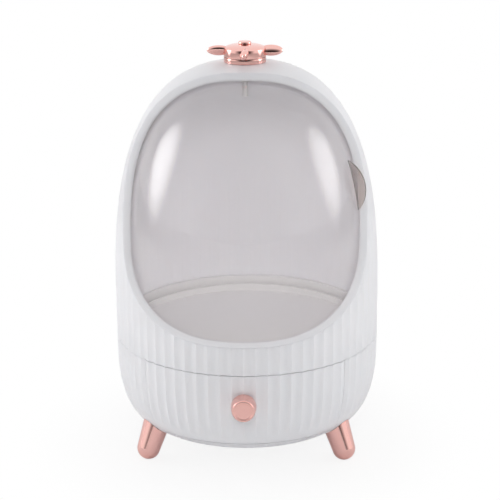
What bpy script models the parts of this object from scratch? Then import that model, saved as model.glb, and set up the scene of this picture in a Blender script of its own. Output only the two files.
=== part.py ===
"""Dustproof makeup organizer: a fluted egg-shaped housing on four legs.

A smoky clear door turns about the housing's upright axis, behind a bevelled opening. Under the deck
that carries the cosmetics a drawer slides out to the front, and a small propeller spins on the crown.
Metres, +Z up, the front faces -Y, left and right are as seen from the front. The floor is at zero, and
the origin is under the middle of the whole object, knob included.
"""

import math
from functools import lru_cache

import bmesh
import bpy
import numpy as np
from mathutils import Euler, Vector

# Body outline, from the floor up
BODY_RADIUS = 0.131
UNDERSIDE_HEIGHT = 0.026
ROUNDING_HEIGHT = 0.076
WAIST_HEIGHT = 0.044
DOME_HEIGHT = 0.239
BASE_FLAT_SHARE = 0.7145
ROUNDING_POWER = 2.46
DOME_POWER = 2.64

# Heights above the underside where the housing comes apart
PLATE_DEPTH = 0.011
BASE_DEPTH = 0.086

# Walls, gaps and flutes
SHELL_WALL = 0.0032
JOIN_GAP = 0.0003
RUNNING_GAP = 0.001
FACET_SAG = 0.0005
FLUTE_COUNT = 72
FLUTE_DEPTH = 0.0012
FLUTE_FOOT_HEIGHT = 0.042
FLUTE_FULL_HEIGHT = 0.052
FLUTE_END_HEIGHT = 0.250
FLUTE_FADE_LENGTH = 0.022

# Opening in the housing, as its outline looks from the front
OPENING_WIDTH_SHARE = 0.8985
OPENING_WIDEST_SHARE = 0.38567
OPENING_FOOT_GAP = 0.0043
OPENING_CROWN_DROP = 0.004
OPENING_TOP_POWER = 2.39
OPENING_FOOT_POWER = 2.92
BEVEL_WIDTH = 0.0042
BEVEL_DEPTH = 0.0052
FRAME_LIP = 0.0016
FRAME_FLANGE_WIDTH = 0.008

# Door, its pull and its pivot
DOOR_WALL = 0.002
DOOR_HALF_ANGLE = math.radians(84)
DOOR_EYE_RADIUS = 0.016
PULL_OFFSET_ANGLE = math.radians(3.04)
PULL_RISE = 0.0163
PULL_LENGTH = 0.048
PULL_REACH = 0.0125
PULL_THICKNESS = 0.002
SPINDLE_RADIUS = 0.003
SPINDLE_DROP = 0.034
PIVOT_FLANGE_RADIUS = 0.012
NUT_DEPTH = 0.0085
NUT_HUB_SHARE = 0.7

# Deck
DECK_FLOOR = 0.0025
DECK_SKIRT = 0.0065
TRACK_CLEARANCE = 0.0006
TRACK_FLOOR_RISE = 0.003
INNER_RAIL_RISE = 0.007
INNER_RAIL_WIDTH = 0.0024
OUTER_LEDGE_RISE = 0.015
SKIRT_WALL_SHARE = 0.75
POST_RADIUS = 0.004
SIDE_POST_SHARE = 0.9776
SIDE_POST_SETBACK = 0.010
REAR_POST_SPREAD = 0.035
REAR_POST_INSET = 0.0096
POST_SCREW_LENGTH = 0.014
SCREW_RADIUS = 0.0015
SCREW_HEAD_RADIUS = 0.0034
SCREW_HEAD_DEPTH = 0.0016
SCREW_HEAD_SINK = 0.0006

# Drawer
DRAWER_HALF_ANGLE = math.radians(47.5)
DRAWER_GAP = 0.0006
DRAWER_TRAVEL = 0.110
TRAY_WALL = 0.002
TRAY_LIFT = 0.005
TRAY_CORNER_RADIUS = 0.030
TRAY_HEADROOM = 0.002
STOP_WIDTH = 0.030
STOP_THICKNESS = 0.003
STOP_OVERLAP = 0.0035
LIP_HEIGHT = 0.0045
LIP_ROOT_DEPTH = 0.0025
RUNNER_LENGTH_SHARE = 1.05
RUNNER_FLANGE = 0.010
RUNNER_WALL = 0.0024
RUNNER_GUIDE_HEIGHT = 0.008
RUNNER_CLEARANCE = 0.0004
RUNNER_POST_GAP = 0.0007
KNOB_RISE = 0.046
KNOB_REACH = 0.015
KNOB_RADIUS = 0.0121
KNOB_BORE_DEPTH = 0.009
KNOB_SCREW_RADIUS = 0.002
KNOB_SCREW_HEAD_RADIUS = 0.004
KNOB_SCREW_HEAD_DEPTH = 0.0024

# Legs
LEG_ANGLE = math.radians(55)
LEG_FOOT_OVERHANG = 0.0244
LEG_TILT = math.radians(22)
LEG_FOOT_RADIUS = 0.0114
LEG_TAPER = math.radians(3.94)
LEG_ROOT_HEIGHT = 0.019
LEG_FLAT_DEPTH = 0.0007
LEG_SCREW_SHIFT = 0.003
LEG_BOSS_RADIUS = 0.0046
LEG_BOSS_RISE = 0.0018
LEG_SCREW_GRIP = 0.012

# Propeller
HUB_RADIUS = 0.0203
HUB_BASE_HEIGHT = 0.0044
CAP_SIDE_HEIGHT = 0.0048
CAP_DOME_HEIGHT = 0.007
CAP_WALL = 0.002
CAP_BOSS_RADIUS = 0.0055
CAP_DOME_POWER = 1.7
COLLAR_RADIUS = 0.006
COLLAR_DEPTH = 0.0018
BUTTON_RADIUS = 0.0062
BUTTON_DEPTH = 0.0026
BUTTON_BORE_DEPTH = 0.0014
BUTTON_EDGE_SHARE = 0.3
BLADE_COUNT = 4
BLADE_TIP_RADIUS = 0.0365
BLADE_HALF_LENGTH = 0.0115
BLADE_HALF_CHORD = 0.0055
BLADE_HALF_THICKNESS = 0.0027
BLADE_PITCH = math.radians(55)
BLADE_RISE = 0.006
TANG_RADIUS = 0.0018
TANG_DEPTH = 0.004

# How finely round pieces are cut into flat faces
OUTLINE_SAMPLES = 600
BODY_COLUMNS = 72
INNER_COLUMNS = 48
OPENING_POINTS = 72
SCREW_COLUMNS = 12
LEG_COLUMNS = 20
KNOB_COLUMNS = 24
ARC_STEPS = 6
BLADE_RIBS = 14
SHARP_ANGLE = math.radians(30)
FLUTE_SHARP_ANGLE = math.radians(12)
OVERRUN = 0.005
MERGE_DISTANCE = 0.00002
SLIVER_WIDTH = 0.00005
LEAST_STEP = 0.001

# Sizes that follow
BASE_FLAT_RADIUS = BODY_RADIUS * BASE_FLAT_SHARE
OPENING_HALF_WIDTH = BODY_RADIUS * OPENING_WIDTH_SHARE
FLUTE_FADE_HEIGHT = FLUTE_END_HEIGHT - FLUTE_FADE_LENGTH
LEG_FOOT_REACH = BASE_FLAT_RADIUS + LEG_FOOT_OVERHANG
SIDE_POST_REACH = BASE_FLAT_RADIUS * SIDE_POST_SHARE
REAR_POST_SETBACK = BASE_FLAT_RADIUS - REAR_POST_INSET
RUNNER_LENGTH = BASE_FLAT_RADIUS * RUNNER_LENGTH_SHARE
TRAY_HALF_WIDTH = SIDE_POST_REACH - POST_RADIUS - RUNNER_POST_GAP - RUNNER_WALL - RUNNER_CLEARANCE
LEG_LENGTH = UNDERSIDE_HEIGHT + LEG_ROOT_HEIGHT
LEG_TOP_RADIUS = LEG_FOOT_RADIUS + LEG_LENGTH * math.tan(LEG_TAPER)

# Heights that follow
PLATE_TOP = UNDERSIDE_HEIGHT + PLATE_DEPTH
SEAM_HEIGHT = UNDERSIDE_HEIGHT + BASE_DEPTH
WAIST_FOOT = UNDERSIDE_HEIGHT + ROUNDING_HEIGHT
SHOULDER_HEIGHT = WAIST_FOOT + WAIST_HEIGHT
CROWN_HEIGHT = SHOULDER_HEIGHT + DOME_HEIGHT
PLATE_FLOOR_TOP = UNDERSIDE_HEIGHT + SHELL_WALL
DECK_TOP = SEAM_HEIGHT + JOIN_GAP
DECK_UNDERSIDE = DECK_TOP - DECK_FLOOR
SKIRT_FOOT = DECK_UNDERSIDE - DECK_SKIRT
TRACK_FLOOR = DECK_TOP + TRACK_FLOOR_RISE
TRAY_FOOT = PLATE_TOP + TRAY_LIFT
TRAY_TOP = SKIRT_FOOT - TRAY_HEADROOM
FRAME_DEPTH = BEVEL_DEPTH + FRAME_LIP
DOOR_INSET = FRAME_DEPTH + RUNNING_GAP
BORE_RADIUS = SPINDLE_RADIUS + JOIN_GAP
SCREW_BORE_RADIUS = SCREW_RADIUS + JOIN_GAP
OPENING_FOOT = DECK_TOP + OUTER_LEDGE_RISE + FRAME_FLANGE_WIDTH + OPENING_FOOT_GAP
OPENING_TOP = CROWN_HEIGHT - OPENING_CROWN_DROP
OPENING_WIDEST_HEIGHT = OPENING_FOOT + (OPENING_TOP - OPENING_FOOT) * OPENING_WIDEST_SHARE
PULL_FOOT_HEIGHT = OPENING_WIDEST_HEIGHT + PULL_RISE
SPINDLE_TAIL_HEIGHT = CROWN_HEIGHT - SPINDLE_DROP
KNOB_HEIGHT = PLATE_TOP + KNOB_RISE
REAR_STOP = REAR_POST_SETBACK - POST_RADIUS - JOIN_GAP
STOP_TOP = TRAY_TOP + STOP_OVERLAP
BODY_SETBACK = (KNOB_REACH + JOIN_GAP) / 2
HUB_BASE_TOP = CROWN_HEIGHT + HUB_BASE_HEIGHT
COLLAR_TOP = HUB_BASE_TOP + JOIN_GAP + COLLAR_DEPTH
CAP_FOOT = HUB_BASE_TOP + JOIN_GAP
CAP_SIDE_TOP = CAP_FOOT + CAP_SIDE_HEIGHT
CAP_TOP = CAP_SIDE_TOP + CAP_DOME_HEIGHT
BUTTON_FOOT = CAP_TOP + JOIN_GAP

# The knob's side, from the dished face to the wall, as shares of its radius and of its reach
KNOB_SHARES = ((0, 0.955), (0.66, 0.955), (0.72, 1), (0.80, 1), (0.86, 0.965), (0.93, 0.8), (1, 0.35),
               (1, 0.15), (0.95, 0))
# How far out the tip of the opening's cutter stands, and how deep its inner tip, as shares of the body's radius
CUTTER_TIP_SHARES = (8, 0.3)


def empty_scene():
    for old in list(bpy.data.objects):
        bpy.data.objects.remove(old)


def collection(name):
    made = bpy.data.collections.new(name)
    bpy.context.scene.collection.children.link(made)
    return made


def frame_at(name, parent=None):
    """An empty on the body's axis, which carries a group of pieces."""
    made = bpy.data.objects.new(name, None)
    parts.objects.link(made)
    if parent:
        made.parent = parent
    else:
        made.location = (0, BODY_SETBACK, 0)
    return made


empty_scene()
parts = collection("makeup_organizer")
cutters = collection("cutters")
body = frame_at("body_axis")
door_turn = frame_at("door_turn", body)
drawer_slide = frame_at("drawer_slide", body)
propeller_spin = frame_at("propeller_spin", body)


@lru_cache(maxsize=None)
def outline(inset):
    """Radii, heights and headings of the body's side line, underside to crown, moved in by inset."""
    turn = np.linspace(0, math.pi / 2, OUTLINE_SAMPLES)
    low = 2 / ROUNDING_POWER
    high = 2 / DOME_POWER
    radii = np.concatenate([
        BASE_FLAT_RADIUS + (BODY_RADIUS - BASE_FLAT_RADIUS) * np.sin(turn) ** low,
        BODY_RADIUS * np.cos(turn) ** high,
    ])
    heights = np.concatenate([
        UNDERSIDE_HEIGHT + ROUNDING_HEIGHT * (1 - np.cos(turn) ** low),
        SHOULDER_HEIGHT + DOME_HEIGHT * np.sin(turn) ** high,
    ])
    out = np.gradient(radii)
    up = np.gradient(heights)
    length = np.hypot(out, up)
    return radii - inset * up / length, heights + inset * out / length, np.arctan2(up, out)


def radius_at(height, inset=0.0):
    radii, heights, _ = outline(inset)
    return float(np.interp(height, heights, radii))


def height_at(radius, inset=0.0):
    """Height of the dome's surface at a distance from the axis."""
    radii, heights, _ = outline(inset)
    return float(np.interp(-radius, -radii[OUTLINE_SAMPLES:], heights[OUTLINE_SAMPLES:]))


def side_line(low, high, inset=0.0, stops=()):
    """Points (radius, height) up the body's side, so close that no chord lies deeper than FACET_SAG."""
    radii, heights, heading = outline(inset)
    steps = np.hypot(np.diff(radii), np.diff(heights))
    length = np.concatenate([[0], np.cumsum(steps)])
    first = np.interp(low, heights, length)
    last = np.interp(high, heights, length)
    # A chord's depth is its length times its turn over eight
    bend = np.concatenate([[0], np.cumsum(np.sqrt(np.abs(np.diff(heading)) * steps))])
    rows = np.arange(0, bend[-1], math.sqrt(8 * FACET_SAG))
    bends = [WAIST_FOOT, SHOULDER_HEIGHT, *stops]
    marks = [*np.interp(rows, bend, length), *np.interp(bends, heights, length)]
    chosen = [first]
    for mark in sorted(marks):
        if chosen[-1] + LEAST_STEP < mark < last - LEAST_STEP:
            chosen.append(mark)
    chosen.append(last)
    return [(float(np.interp(mark, length, radii)), float(np.interp(mark, length, heights))) for mark in chosen]


def surface_under(point):
    """The body's outline point nearest to a point in space, the way along it, and how far along the point is."""
    radii, heights, heading = outline(0.0)
    spread = math.hypot(point[0], point[1])
    near = int(np.argmin(np.hypot(radii - spread, heights - point[2])))
    way = Vector((math.cos(heading[near]), math.sin(heading[near])))
    start = Vector((radii[near], heights[near]))
    return start + way * (Vector((spread, point[2])) - start).dot(way), way, spread


def sunk(point, depth):
    """The point at this depth under the body's surface that is nearest to a point in space."""
    base, way, spread = surface_under(point)
    radius = base.x - way.y * depth
    return Vector((point[0] * radius / spread, point[1] * radius / spread, base.y + way.x * depth))


def outward(point):
    """The direction straight out of the body's surface near a point."""
    _, way, spread = surface_under(point)
    return Vector((point[0] / spread * way.y, point[1] / spread * way.y, -way.x))


def opening_edge():
    """Evenly spaced points of the opening's edge, each with the direction along the surface to its middle."""
    turn = np.linspace(0, 2 * math.pi, OUTLINE_SAMPLES)
    above = np.sin(turn) > 0
    power = np.where(above, 2 / OPENING_TOP_POWER, 2 / OPENING_FOOT_POWER)
    tall = np.where(above, OPENING_TOP - OPENING_WIDEST_HEIGHT, OPENING_WIDEST_HEIGHT - OPENING_FOOT)
    across = OPENING_HALF_WIDTH * np.sign(np.cos(turn)) * np.abs(np.cos(turn)) ** power
    height = OPENING_WIDEST_HEIGHT + tall * np.sign(np.sin(turn)) * np.abs(np.sin(turn)) ** power
    radii, heights, _ = outline(0.0)
    radius = np.interp(height, heights, radii)
    edge = np.stack([across, -np.sqrt(np.maximum(radius ** 2 - across ** 2, 0)), height], axis=1)
    length = np.concatenate([[0], np.cumsum(np.linalg.norm(np.diff(edge, axis=0), axis=1))])
    even = np.linspace(0, length[-1], OPENING_POINTS, endpoint=False)
    points = [Vector([np.interp(mark, length, edge[:, axis]) for axis in range(3)]) for mark in even]
    ways = []
    for place, point in enumerate(points):
        along = points[(place + 1) % OPENING_POINTS] - points[place - 1]
        ways.append(outward(point).cross(along).normalized())
    return list(zip(points, ways))


def material(name, colour, roughness, metallic=0.0, alpha=1.0):
    made = bpy.data.materials.new(name)
    made.use_nodes = True
    shader = made.node_tree.nodes["Principled BSDF"]
    shader.inputs["Base Color"].default_value = (*colour, 1)
    shader.inputs["Roughness"].default_value = roughness
    shader.inputs["Metallic"].default_value = metallic
    shader.inputs["Alpha"].default_value = alpha
    return made


def part(name, mesh, finish, carrier=None):
    """A piece of the organizer, carried by one of the empties on the body's axis."""
    made = bpy.data.objects.new(name, mesh)
    parts.objects.link(made)
    made.parent = carrier or body
    if not mesh.materials:
        mesh.materials.append(finish)
    return made


def cutter(name, mesh):
    made = bpy.data.objects.new(name, mesh)
    cutters.objects.link(made)
    made.parent = body
    made.hide_render = True
    made.display_type = "WIRE"
    return made


def boolean(target, operation, other):
    step = target.modifiers.new(other.name, "BOOLEAN")
    step.operation = operation
    step.solver = "EXACT"
    step.object = other


def weld(target):
    """Closes the hairline slivers that Booleans leave where edges nearly meet."""
    step = target.modifiers.new("weld", "WELD")
    step.merge_threshold = SLIVER_WIDTH


def evaluated_mesh(made, name):
    graph = bpy.context.evaluated_depsgraph_get()
    mesh = bpy.data.meshes.new_from_object(made.evaluated_get(graph))
    mesh.name = name
    return mesh


def smooth(mesh, sharpest):
    mesh.shade_smooth()
    mesh.set_sharp_from_angle(angle=sharpest)
    return mesh


def turned_mesh(name, points, columns, closed=False):
    """A turned solid. The profile runs down its outer side, and either closes on itself or ends on the axis."""
    last = len(points) - 1
    edges = [(place, place + 1) for place in range(last)]
    if closed:
        edges.append((last, 0))
    profile = bpy.data.meshes.new(name + "_profile")
    profile.from_pydata([(radius, 0, height) for radius, height in points], edges, [])
    made = cutter(name + "_profile", profile)
    screw = made.modifiers.new("turn", "SCREW")
    screw.steps = columns
    screw.render_steps = columns
    screw.use_merge_vertices = not closed
    screw.merge_threshold = MERGE_DISTANCE
    mesh = evaluated_mesh(made, name)
    bpy.data.objects.remove(made)
    bpy.data.meshes.remove(profile)
    return smooth(mesh, SHARP_ANGLE)


def cylinder_mesh(name, radius, low, high, columns):
    return turned_mesh(name, [(0, high), (radius, high), (radius, low), (0, low)], columns)


def prism_mesh(name, plan, low, high, along="Z"):
    """A solid with this plan, from low to high along Z, or along Y for a plan in X and Z."""
    shape = bmesh.new()
    spots = [(x, y, low) if along == "Z" else (x, low, y) for x, y in plan]
    face = shape.faces.new([shape.verts.new(spot) for spot in spots])
    grown = bmesh.ops.extrude_face_region(shape, geom=[face])
    moved = [item for item in grown["geom"] if isinstance(item, bmesh.types.BMVert)]
    way = (0, 0, high - low) if along == "Z" else (0, high - low, 0)
    bmesh.ops.translate(shape, verts=moved, vec=way)
    bmesh.ops.recalc_face_normals(shape, faces=shape.faces)
    return finished(shape, name)


def finished(shape, name):
    mesh = bpy.data.meshes.new(name)
    shape.to_mesh(mesh)
    shape.free()
    return mesh


def box_mesh(name, low_corner, high_corner):
    left, front, foot = low_corner
    right, back, top = high_corner
    return prism_mesh(name, [(left, front), (right, front), (right, back), (left, back)], foot, top)


def loft_mesh(name, rings, tips=()):
    """Skin through rings of equal length: a closed tube, or a solid that ends in two tips."""
    shape = bmesh.new()
    lines = [[shape.verts.new(spot) for spot in ring] for ring in rings]
    count = len(lines[0])
    for line, other in zip(lines, lines[1:] + ([] if tips else lines[:1])):
        for place in range(count):
            after = (place + 1) % count
            shape.faces.new((line[place], line[after], other[after], other[place]))
    for line, tip in zip((lines[0], lines[-1]), tips):
        end = shape.verts.new(tip)
        for place in range(count):
            shape.faces.new((line[place], line[(place + 1) % count], end))
    bmesh.ops.recalc_face_normals(shape, faces=shape.faces)
    return finished(shape, name)


def spot(angle, reach):
    """Plan position at an angle that counts from the front towards the right."""
    return math.sin(angle) * reach, -math.cos(angle) * reach


def sector(start, end, reach, inner=0.0):
    """Plan of the slice of the body between two angles, optionally kept off the axis by an inner radius."""
    quarter = (end - start) / 4
    far = reach / math.cos(quarter)
    rim = [spot(start, reach), spot(start + quarter, far), spot(start + 2 * quarter, reach)]
    rim += [spot(end - quarter, far), spot(end, reach)]
    if not inner:
        return [(0, 0), *rim]
    steps = 2 * ARC_STEPS
    return rim + [spot(end + (start - end) * place / steps, inner) for place in range(steps + 1)]


def body_solid(name, inset, low, high, stops=()):
    """The body's own form as one solid between two heights, moved in or out by inset."""
    line = side_line(low, high, inset, stops)[::-1]
    return cutter(name, turned_mesh(name, [(0, line[0][1]), *line, (0, line[-1][1])], BODY_COLUMNS))


def flute_share(height):
    """How deep the flutes are at a height, as a share of their full depth."""
    foot = (height - FLUTE_FOOT_HEIGHT) / (FLUTE_FULL_HEIGHT - FLUTE_FOOT_HEIGHT)
    end = (FLUTE_END_HEIGHT - height) / (FLUTE_END_HEIGHT - FLUTE_FADE_HEIGHT)
    return min(max(foot, 0), max(end, 0), 1)


def fluted_shell_mesh(name, low, high):
    """A wall of the body between two heights, scalloped outside between sharp upright ridges."""
    stops = (FLUTE_FOOT_HEIGHT, FLUTE_FULL_HEIGHT, FLUTE_FADE_HEIGHT, FLUTE_END_HEIGHT)
    outer = side_line(low, high, 0.0, stops)[::-1]
    seat = height_at(PIVOT_FLANGE_RADIUS, SHELL_WALL)
    inner = side_line(low, min(high, height_at(outer[0][0], SHELL_WALL)), SHELL_WALL, (seat,))
    points = outer + inner
    mesh = turned_mesh(name, points, 2 * FLUTE_COUNT, closed=True)
    shape = bmesh.new()
    shape.from_mesh(mesh)
    shape.verts.ensure_lookup_table()
    merged = {}
    for vertex in shape.verts:
        column, place = divmod(vertex.index, len(points))
        share = flute_share(vertex.co.z) if place < len(outer) else 0
        if column % 2 and share:
            radius = math.hypot(vertex.co.x, vertex.co.y)
            shrink = 1 - FLUTE_DEPTH * share / radius
            vertex.co.x *= shrink
            vertex.co.y *= shrink
        elif column % 2:
            merged[vertex] = shape.verts[vertex.index - len(points)]
    bmesh.ops.weld_verts(shape, targetmap=merged)
    shape.to_mesh(mesh)
    shape.free()
    return smooth(mesh, FLUTE_SHARP_ANGLE)


def screw_mesh(name, radius, head_radius, head_depth, length):
    """A pan-head screw along Z: the head stands on zero and the shank hangs below."""
    crown = head_radius * math.cos(math.pi / 4)
    points = [(0, head_depth), (crown, head_depth), (head_radius, head_depth / 2), (head_radius, 0),
              (radius, 0), (radius, -length), (0, -length)]
    return turned_mesh(name, points, SCREW_COLUMNS)


def leg_line(step, shift):
    """Radius and height of a point up a leg's axis from the middle of its round foot, or up a line inside it."""
    reach = LEG_FOOT_REACH - math.sin(LEG_TILT) * step - math.cos(LEG_TILT) * shift
    rise = LEG_FOOT_RADIUS - LEG_FLAT_DEPTH + math.cos(LEG_TILT) * step - math.sin(LEG_TILT) * shift
    return reach, rise


def stand_on_leg(made, end, side, step, shift=0.0):
    """Puts an object's origin on a leg's line, with its +Z up that line."""
    angle = LEG_ANGLE if end == "front" else math.pi - LEG_ANGLE
    heading = (angle if side == "right" else -angle) - math.pi / 2
    reach, rise = leg_line(step, shift)
    made.location = (math.cos(heading) * reach, math.sin(heading) * reach, rise)
    made.rotation_euler = (0, -LEG_TILT, heading)
    return made


def screw_step_at(inset):
    """How far up a leg its screw's line meets the body's surface moved in by inset."""
    steps = np.linspace(0, LEG_LENGTH, OUTLINE_SAMPLES)
    reach, rise = leg_line(steps, LEG_SCREW_SHIFT)
    radii, heights, _ = outline(inset)
    inside = (rise > UNDERSIDE_HEIGHT + inset) & (reach < np.interp(rise, heights, radii))
    return float(steps[np.argmax(inside)])


LEGS = [("front", "left"), ("front", "right"), ("rear", "left"), ("rear", "right")]
POSTS = {
    "left": (-SIDE_POST_REACH, -SIDE_POST_SETBACK),
    "right": (SIDE_POST_REACH, -SIDE_POST_SETBACK),
    "rear_left": (-REAR_POST_SPREAD, REAR_POST_SETBACK),
    "rear_right": (REAR_POST_SPREAD, REAR_POST_SETBACK),
}


def make_base_plate(finish):
    """The dished bottom cover, with a lip that centres the housing and bosses over the legs."""
    rim = PLATE_TOP - JOIN_GAP / 2
    lip_top = PLATE_TOP + LIP_HEIGHT
    outer = side_line(UNDERSIDE_HEIGHT, rim)[::-1]
    lip_outer = SHELL_WALL + JOIN_GAP + FACET_SAG
    lip_inner = lip_outer + TRAY_WALL
    inner = side_line(PLATE_FLOOR_TOP, rim - LIP_ROOT_DEPTH, SHELL_WALL)
    lip = side_line(rim, lip_top, lip_inner)
    points = [(0, PLATE_FLOOR_TOP), *inner, *lip, (radius_at(lip_top, lip_outer), lip_top),
              (radius_at(rim, lip_outer), rim), *outer, (0, UNDERSIDE_HEIGHT)]
    plate = part("base_plate", turned_mesh("base_plate", points, BODY_COLUMNS), finish)
    mid_wall = body_solid("mid_wall", SHELL_WALL / 2, UNDERSIDE_HEIGHT + SHELL_WALL / 2, SEAM_HEIGHT)
    # The bosses keep out of the room over the plate's rim, where the housing's wall stands
    lip_side = radius_at(rim, lip_outer)
    beyond = BODY_RADIUS + OVERRUN
    points = [(beyond, SEAM_HEIGHT), (beyond, PLATE_TOP), (lip_side, PLATE_TOP), (lip_side, SEAM_HEIGHT)]
    wall_room = cutter("wall_room", turned_mesh("wall_room", points, BODY_COLUMNS, closed=True))
    skin = screw_step_at(0.0)
    seat = screw_step_at(SHELL_WALL) + LEG_BOSS_RISE
    boss = cylinder_mesh("leg_boss", LEG_BOSS_RADIUS, -OVERRUN, seat - skin + LEG_BOSS_RISE, SCREW_COLUMNS)
    # One cutter faces the boss off at the screw's seat, makes room for the head and bores the hole below it
    face = LEG_BOSS_RADIUS + JOIN_GAP
    head_top = seat - skin + OVERRUN
    bore_foot = -LEG_SCREW_GRIP - OVERRUN
    points = [(0, head_top), (face, head_top), (face, seat - skin), (SCREW_BORE_RADIUS, seat - skin),
              (SCREW_BORE_RADIUS, bore_foot), (0, bore_foot)]
    bore = turned_mesh("leg_bore", points, SCREW_COLUMNS)
    # Their edges stand clear of the plate's own edges, which run through the legs' middle planes
    half_column = Euler((0, 0, math.pi / SCREW_COLUMNS)).to_matrix().to_4x4()
    boss.transform(half_column)
    bore.transform(half_column)
    bores = []
    for end, side in LEGS:
        made = stand_on_leg(cutter(f"leg_boss_{end}_{side}", boss), end, side, skin, LEG_SCREW_SHIFT)
        boolean(made, "INTERSECT", mid_wall)
        boolean(made, "DIFFERENCE", wall_room)
        boolean(plate, "UNION", made)
        made = cutter(f"leg_bore_{end}_{side}", bore)
        bores.append(stand_on_leg(made, end, side, skin, LEG_SCREW_SHIFT))
    head_room = cylinder_mesh("head_room", SCREW_HEAD_RADIUS + JOIN_GAP, -OVERRUN,
                              SCREW_HEAD_DEPTH + SCREW_HEAD_SINK, SCREW_COLUMNS)
    post_hole = cylinder_mesh("post_hole", SCREW_BORE_RADIUS, -OVERRUN, SHELL_WALL + OVERRUN, SCREW_COLUMNS)
    for name, (across, along) in POSTS.items():
        for kind, mesh in (("head_room", head_room), ("post_hole", post_hole)):
            made = cutter(f"{kind}_{name}", mesh)
            made.location = (across, along, UNDERSIDE_HEIGHT)
            bores.append(made)
    for made in bores:
        boolean(plate, "DIFFERENCE", made)
    weld(plate)


def make_legs(finish, screw_finish):
    """Four tapered legs with rounded feet, cut to the body's underside, each held by a screw from inside."""
    skin = screw_step_at(0.0)
    seat = screw_step_at(SHELL_WALL) + LEG_BOSS_RISE + JOIN_GAP
    turns = np.linspace(0, math.pi / 2, ARC_STEPS + 1)
    foot = [(LEG_FOOT_RADIUS * math.cos(turn), -LEG_FOOT_RADIUS * math.sin(turn)) for turn in turns[:-1]]
    points = [(0, LEG_LENGTH), (LEG_TOP_RADIUS, LEG_LENGTH), *foot, (0, -LEG_FOOT_RADIUS)]
    first = part("leg_front_left", turned_mesh("leg", points, LEG_COLUMNS), finish)
    stand_on_leg(first, "front", "left", 0)
    room = body_solid("body_room", -JOIN_GAP, UNDERSIDE_HEIGHT - JOIN_GAP, SEAM_HEIGHT, (PLATE_TOP,))
    boolean(first, "DIFFERENCE", room)
    wide = BODY_RADIUS + LEG_FOOT_RADIUS
    floor = cutter("floor", box_mesh("floor", (-wide, -wide, -LEG_FOOT_RADIUS), (wide, wide, 0)))
    boolean(first, "DIFFERENCE", floor)
    boolean(first, "DIFFERENCE", bpy.data.objects["leg_bore_front_left"])
    leg = evaluated_mesh(first, "leg")
    first.modifiers.clear()
    first.data = leg
    shank = seat - skin + LEG_SCREW_GRIP
    screw = screw_mesh("leg_screw", SCREW_RADIUS, SCREW_HEAD_RADIUS, SCREW_HEAD_DEPTH, shank)
    for end, side in LEGS:
        if (end, side) != LEGS[0]:
            stand_on_leg(part(f"leg_{end}_{side}", leg, finish), end, side, 0)
        made = part(f"leg_screw_{end}_{side}", screw, screw_finish)
        stand_on_leg(made, end, side, seat, LEG_SCREW_SHIFT)


def make_base_housing(finish):
    """The fluted lower wall, open at the front where the drawer stands."""
    mesh = fluted_shell_mesh("base_housing", PLATE_TOP + JOIN_GAP / 2, SEAM_HEIGHT - JOIN_GAP / 2)
    housing = part("base_housing", mesh, finish)
    half = DRAWER_HALF_ANGLE + JOIN_GAP / BODY_RADIUS
    bay = prism_mesh("drawer_bay", sector(-half, half, BODY_RADIUS + OVERRUN), UNDERSIDE_HEIGHT, CROWN_HEIGHT)
    boolean(housing, "DIFFERENCE", cutter("drawer_bay", bay))


def make_deck(finish):
    """The floor of the upper room, with the track that the door's foot runs in and posts down to the plate."""
    rim = radius_at(SKIRT_FOOT, SHELL_WALL) - JOIN_GAP
    door_face = BODY_RADIUS - DOOR_INSET
    track_out = door_face + TRACK_CLEARANCE
    track_in = door_face - DOOR_WALL - TRACK_CLEARANCE
    rail = track_in - INNER_RAIL_WIDTH
    rail_top = DECK_TOP + INNER_RAIL_RISE
    ledge_top = DECK_TOP + OUTER_LEDGE_RISE
    skirt = rim - (rim - track_out) * SKIRT_WALL_SHARE
    points = [(0, DECK_TOP), (rail, DECK_TOP), (rail, rail_top), (track_in, rail_top), (track_in, TRACK_FLOOR),
              (track_out, TRACK_FLOOR), (track_out, ledge_top), (rim, ledge_top), (rim, SKIRT_FOOT),
              (skirt, SKIRT_FOOT), (skirt, DECK_UNDERSIDE), (0, DECK_UNDERSIDE)]
    deck = part("deck", turned_mesh("deck", points, INNER_COLUMNS), finish)
    post_foot = PLATE_FLOOR_TOP + 2 * JOIN_GAP
    post = cylinder_mesh("post", POST_RADIUS, post_foot, DECK_UNDERSIDE + DECK_FLOOR / 2, SCREW_COLUMNS)
    bore = cylinder_mesh("post_bore", SCREW_BORE_RADIUS, UNDERSIDE_HEIGHT, UNDERSIDE_HEIGHT + POST_SCREW_LENGTH
                         + OVERRUN, SCREW_COLUMNS)
    bores = []
    for name, (across, along) in POSTS.items():
        made = cutter(f"post_{name}", post)
        made.location = (across, along, 0)
        boolean(deck, "UNION", made)
        bores.append(cutter(f"post_bore_{name}", bore))
        bores[-1].location = made.location
    lug_face = REAR_STOP - TRAY_WALL
    stop_back = lug_face - DRAWER_TRAVEL - JOIN_GAP
    stop = box_mesh("drawer_stop", (-STOP_WIDTH / 2, stop_back - STOP_THICKNESS, TRAY_TOP + RUNNING_GAP),
                    (STOP_WIDTH / 2, stop_back, DECK_UNDERSIDE + DECK_FLOOR / 2))
    boolean(deck, "UNION", cutter("drawer_stop", stop))
    for made in bores:
        boolean(deck, "DIFFERENCE", made)


def make_post_screws(finish):
    """Screws that draw the deck's posts down to the base plate, their heads let in from below."""
    mesh = screw_mesh("post_screw", SCREW_RADIUS, SCREW_HEAD_RADIUS, SCREW_HEAD_DEPTH, POST_SCREW_LENGTH)
    for name, (across, along) in POSTS.items():
        screw = part(f"post_screw_{name}", mesh, finish)
        screw.location = (across, along, UNDERSIDE_HEIGHT + SCREW_HEAD_DEPTH + JOIN_GAP)
        screw.rotation_euler = (math.pi, 0, 0)


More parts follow.
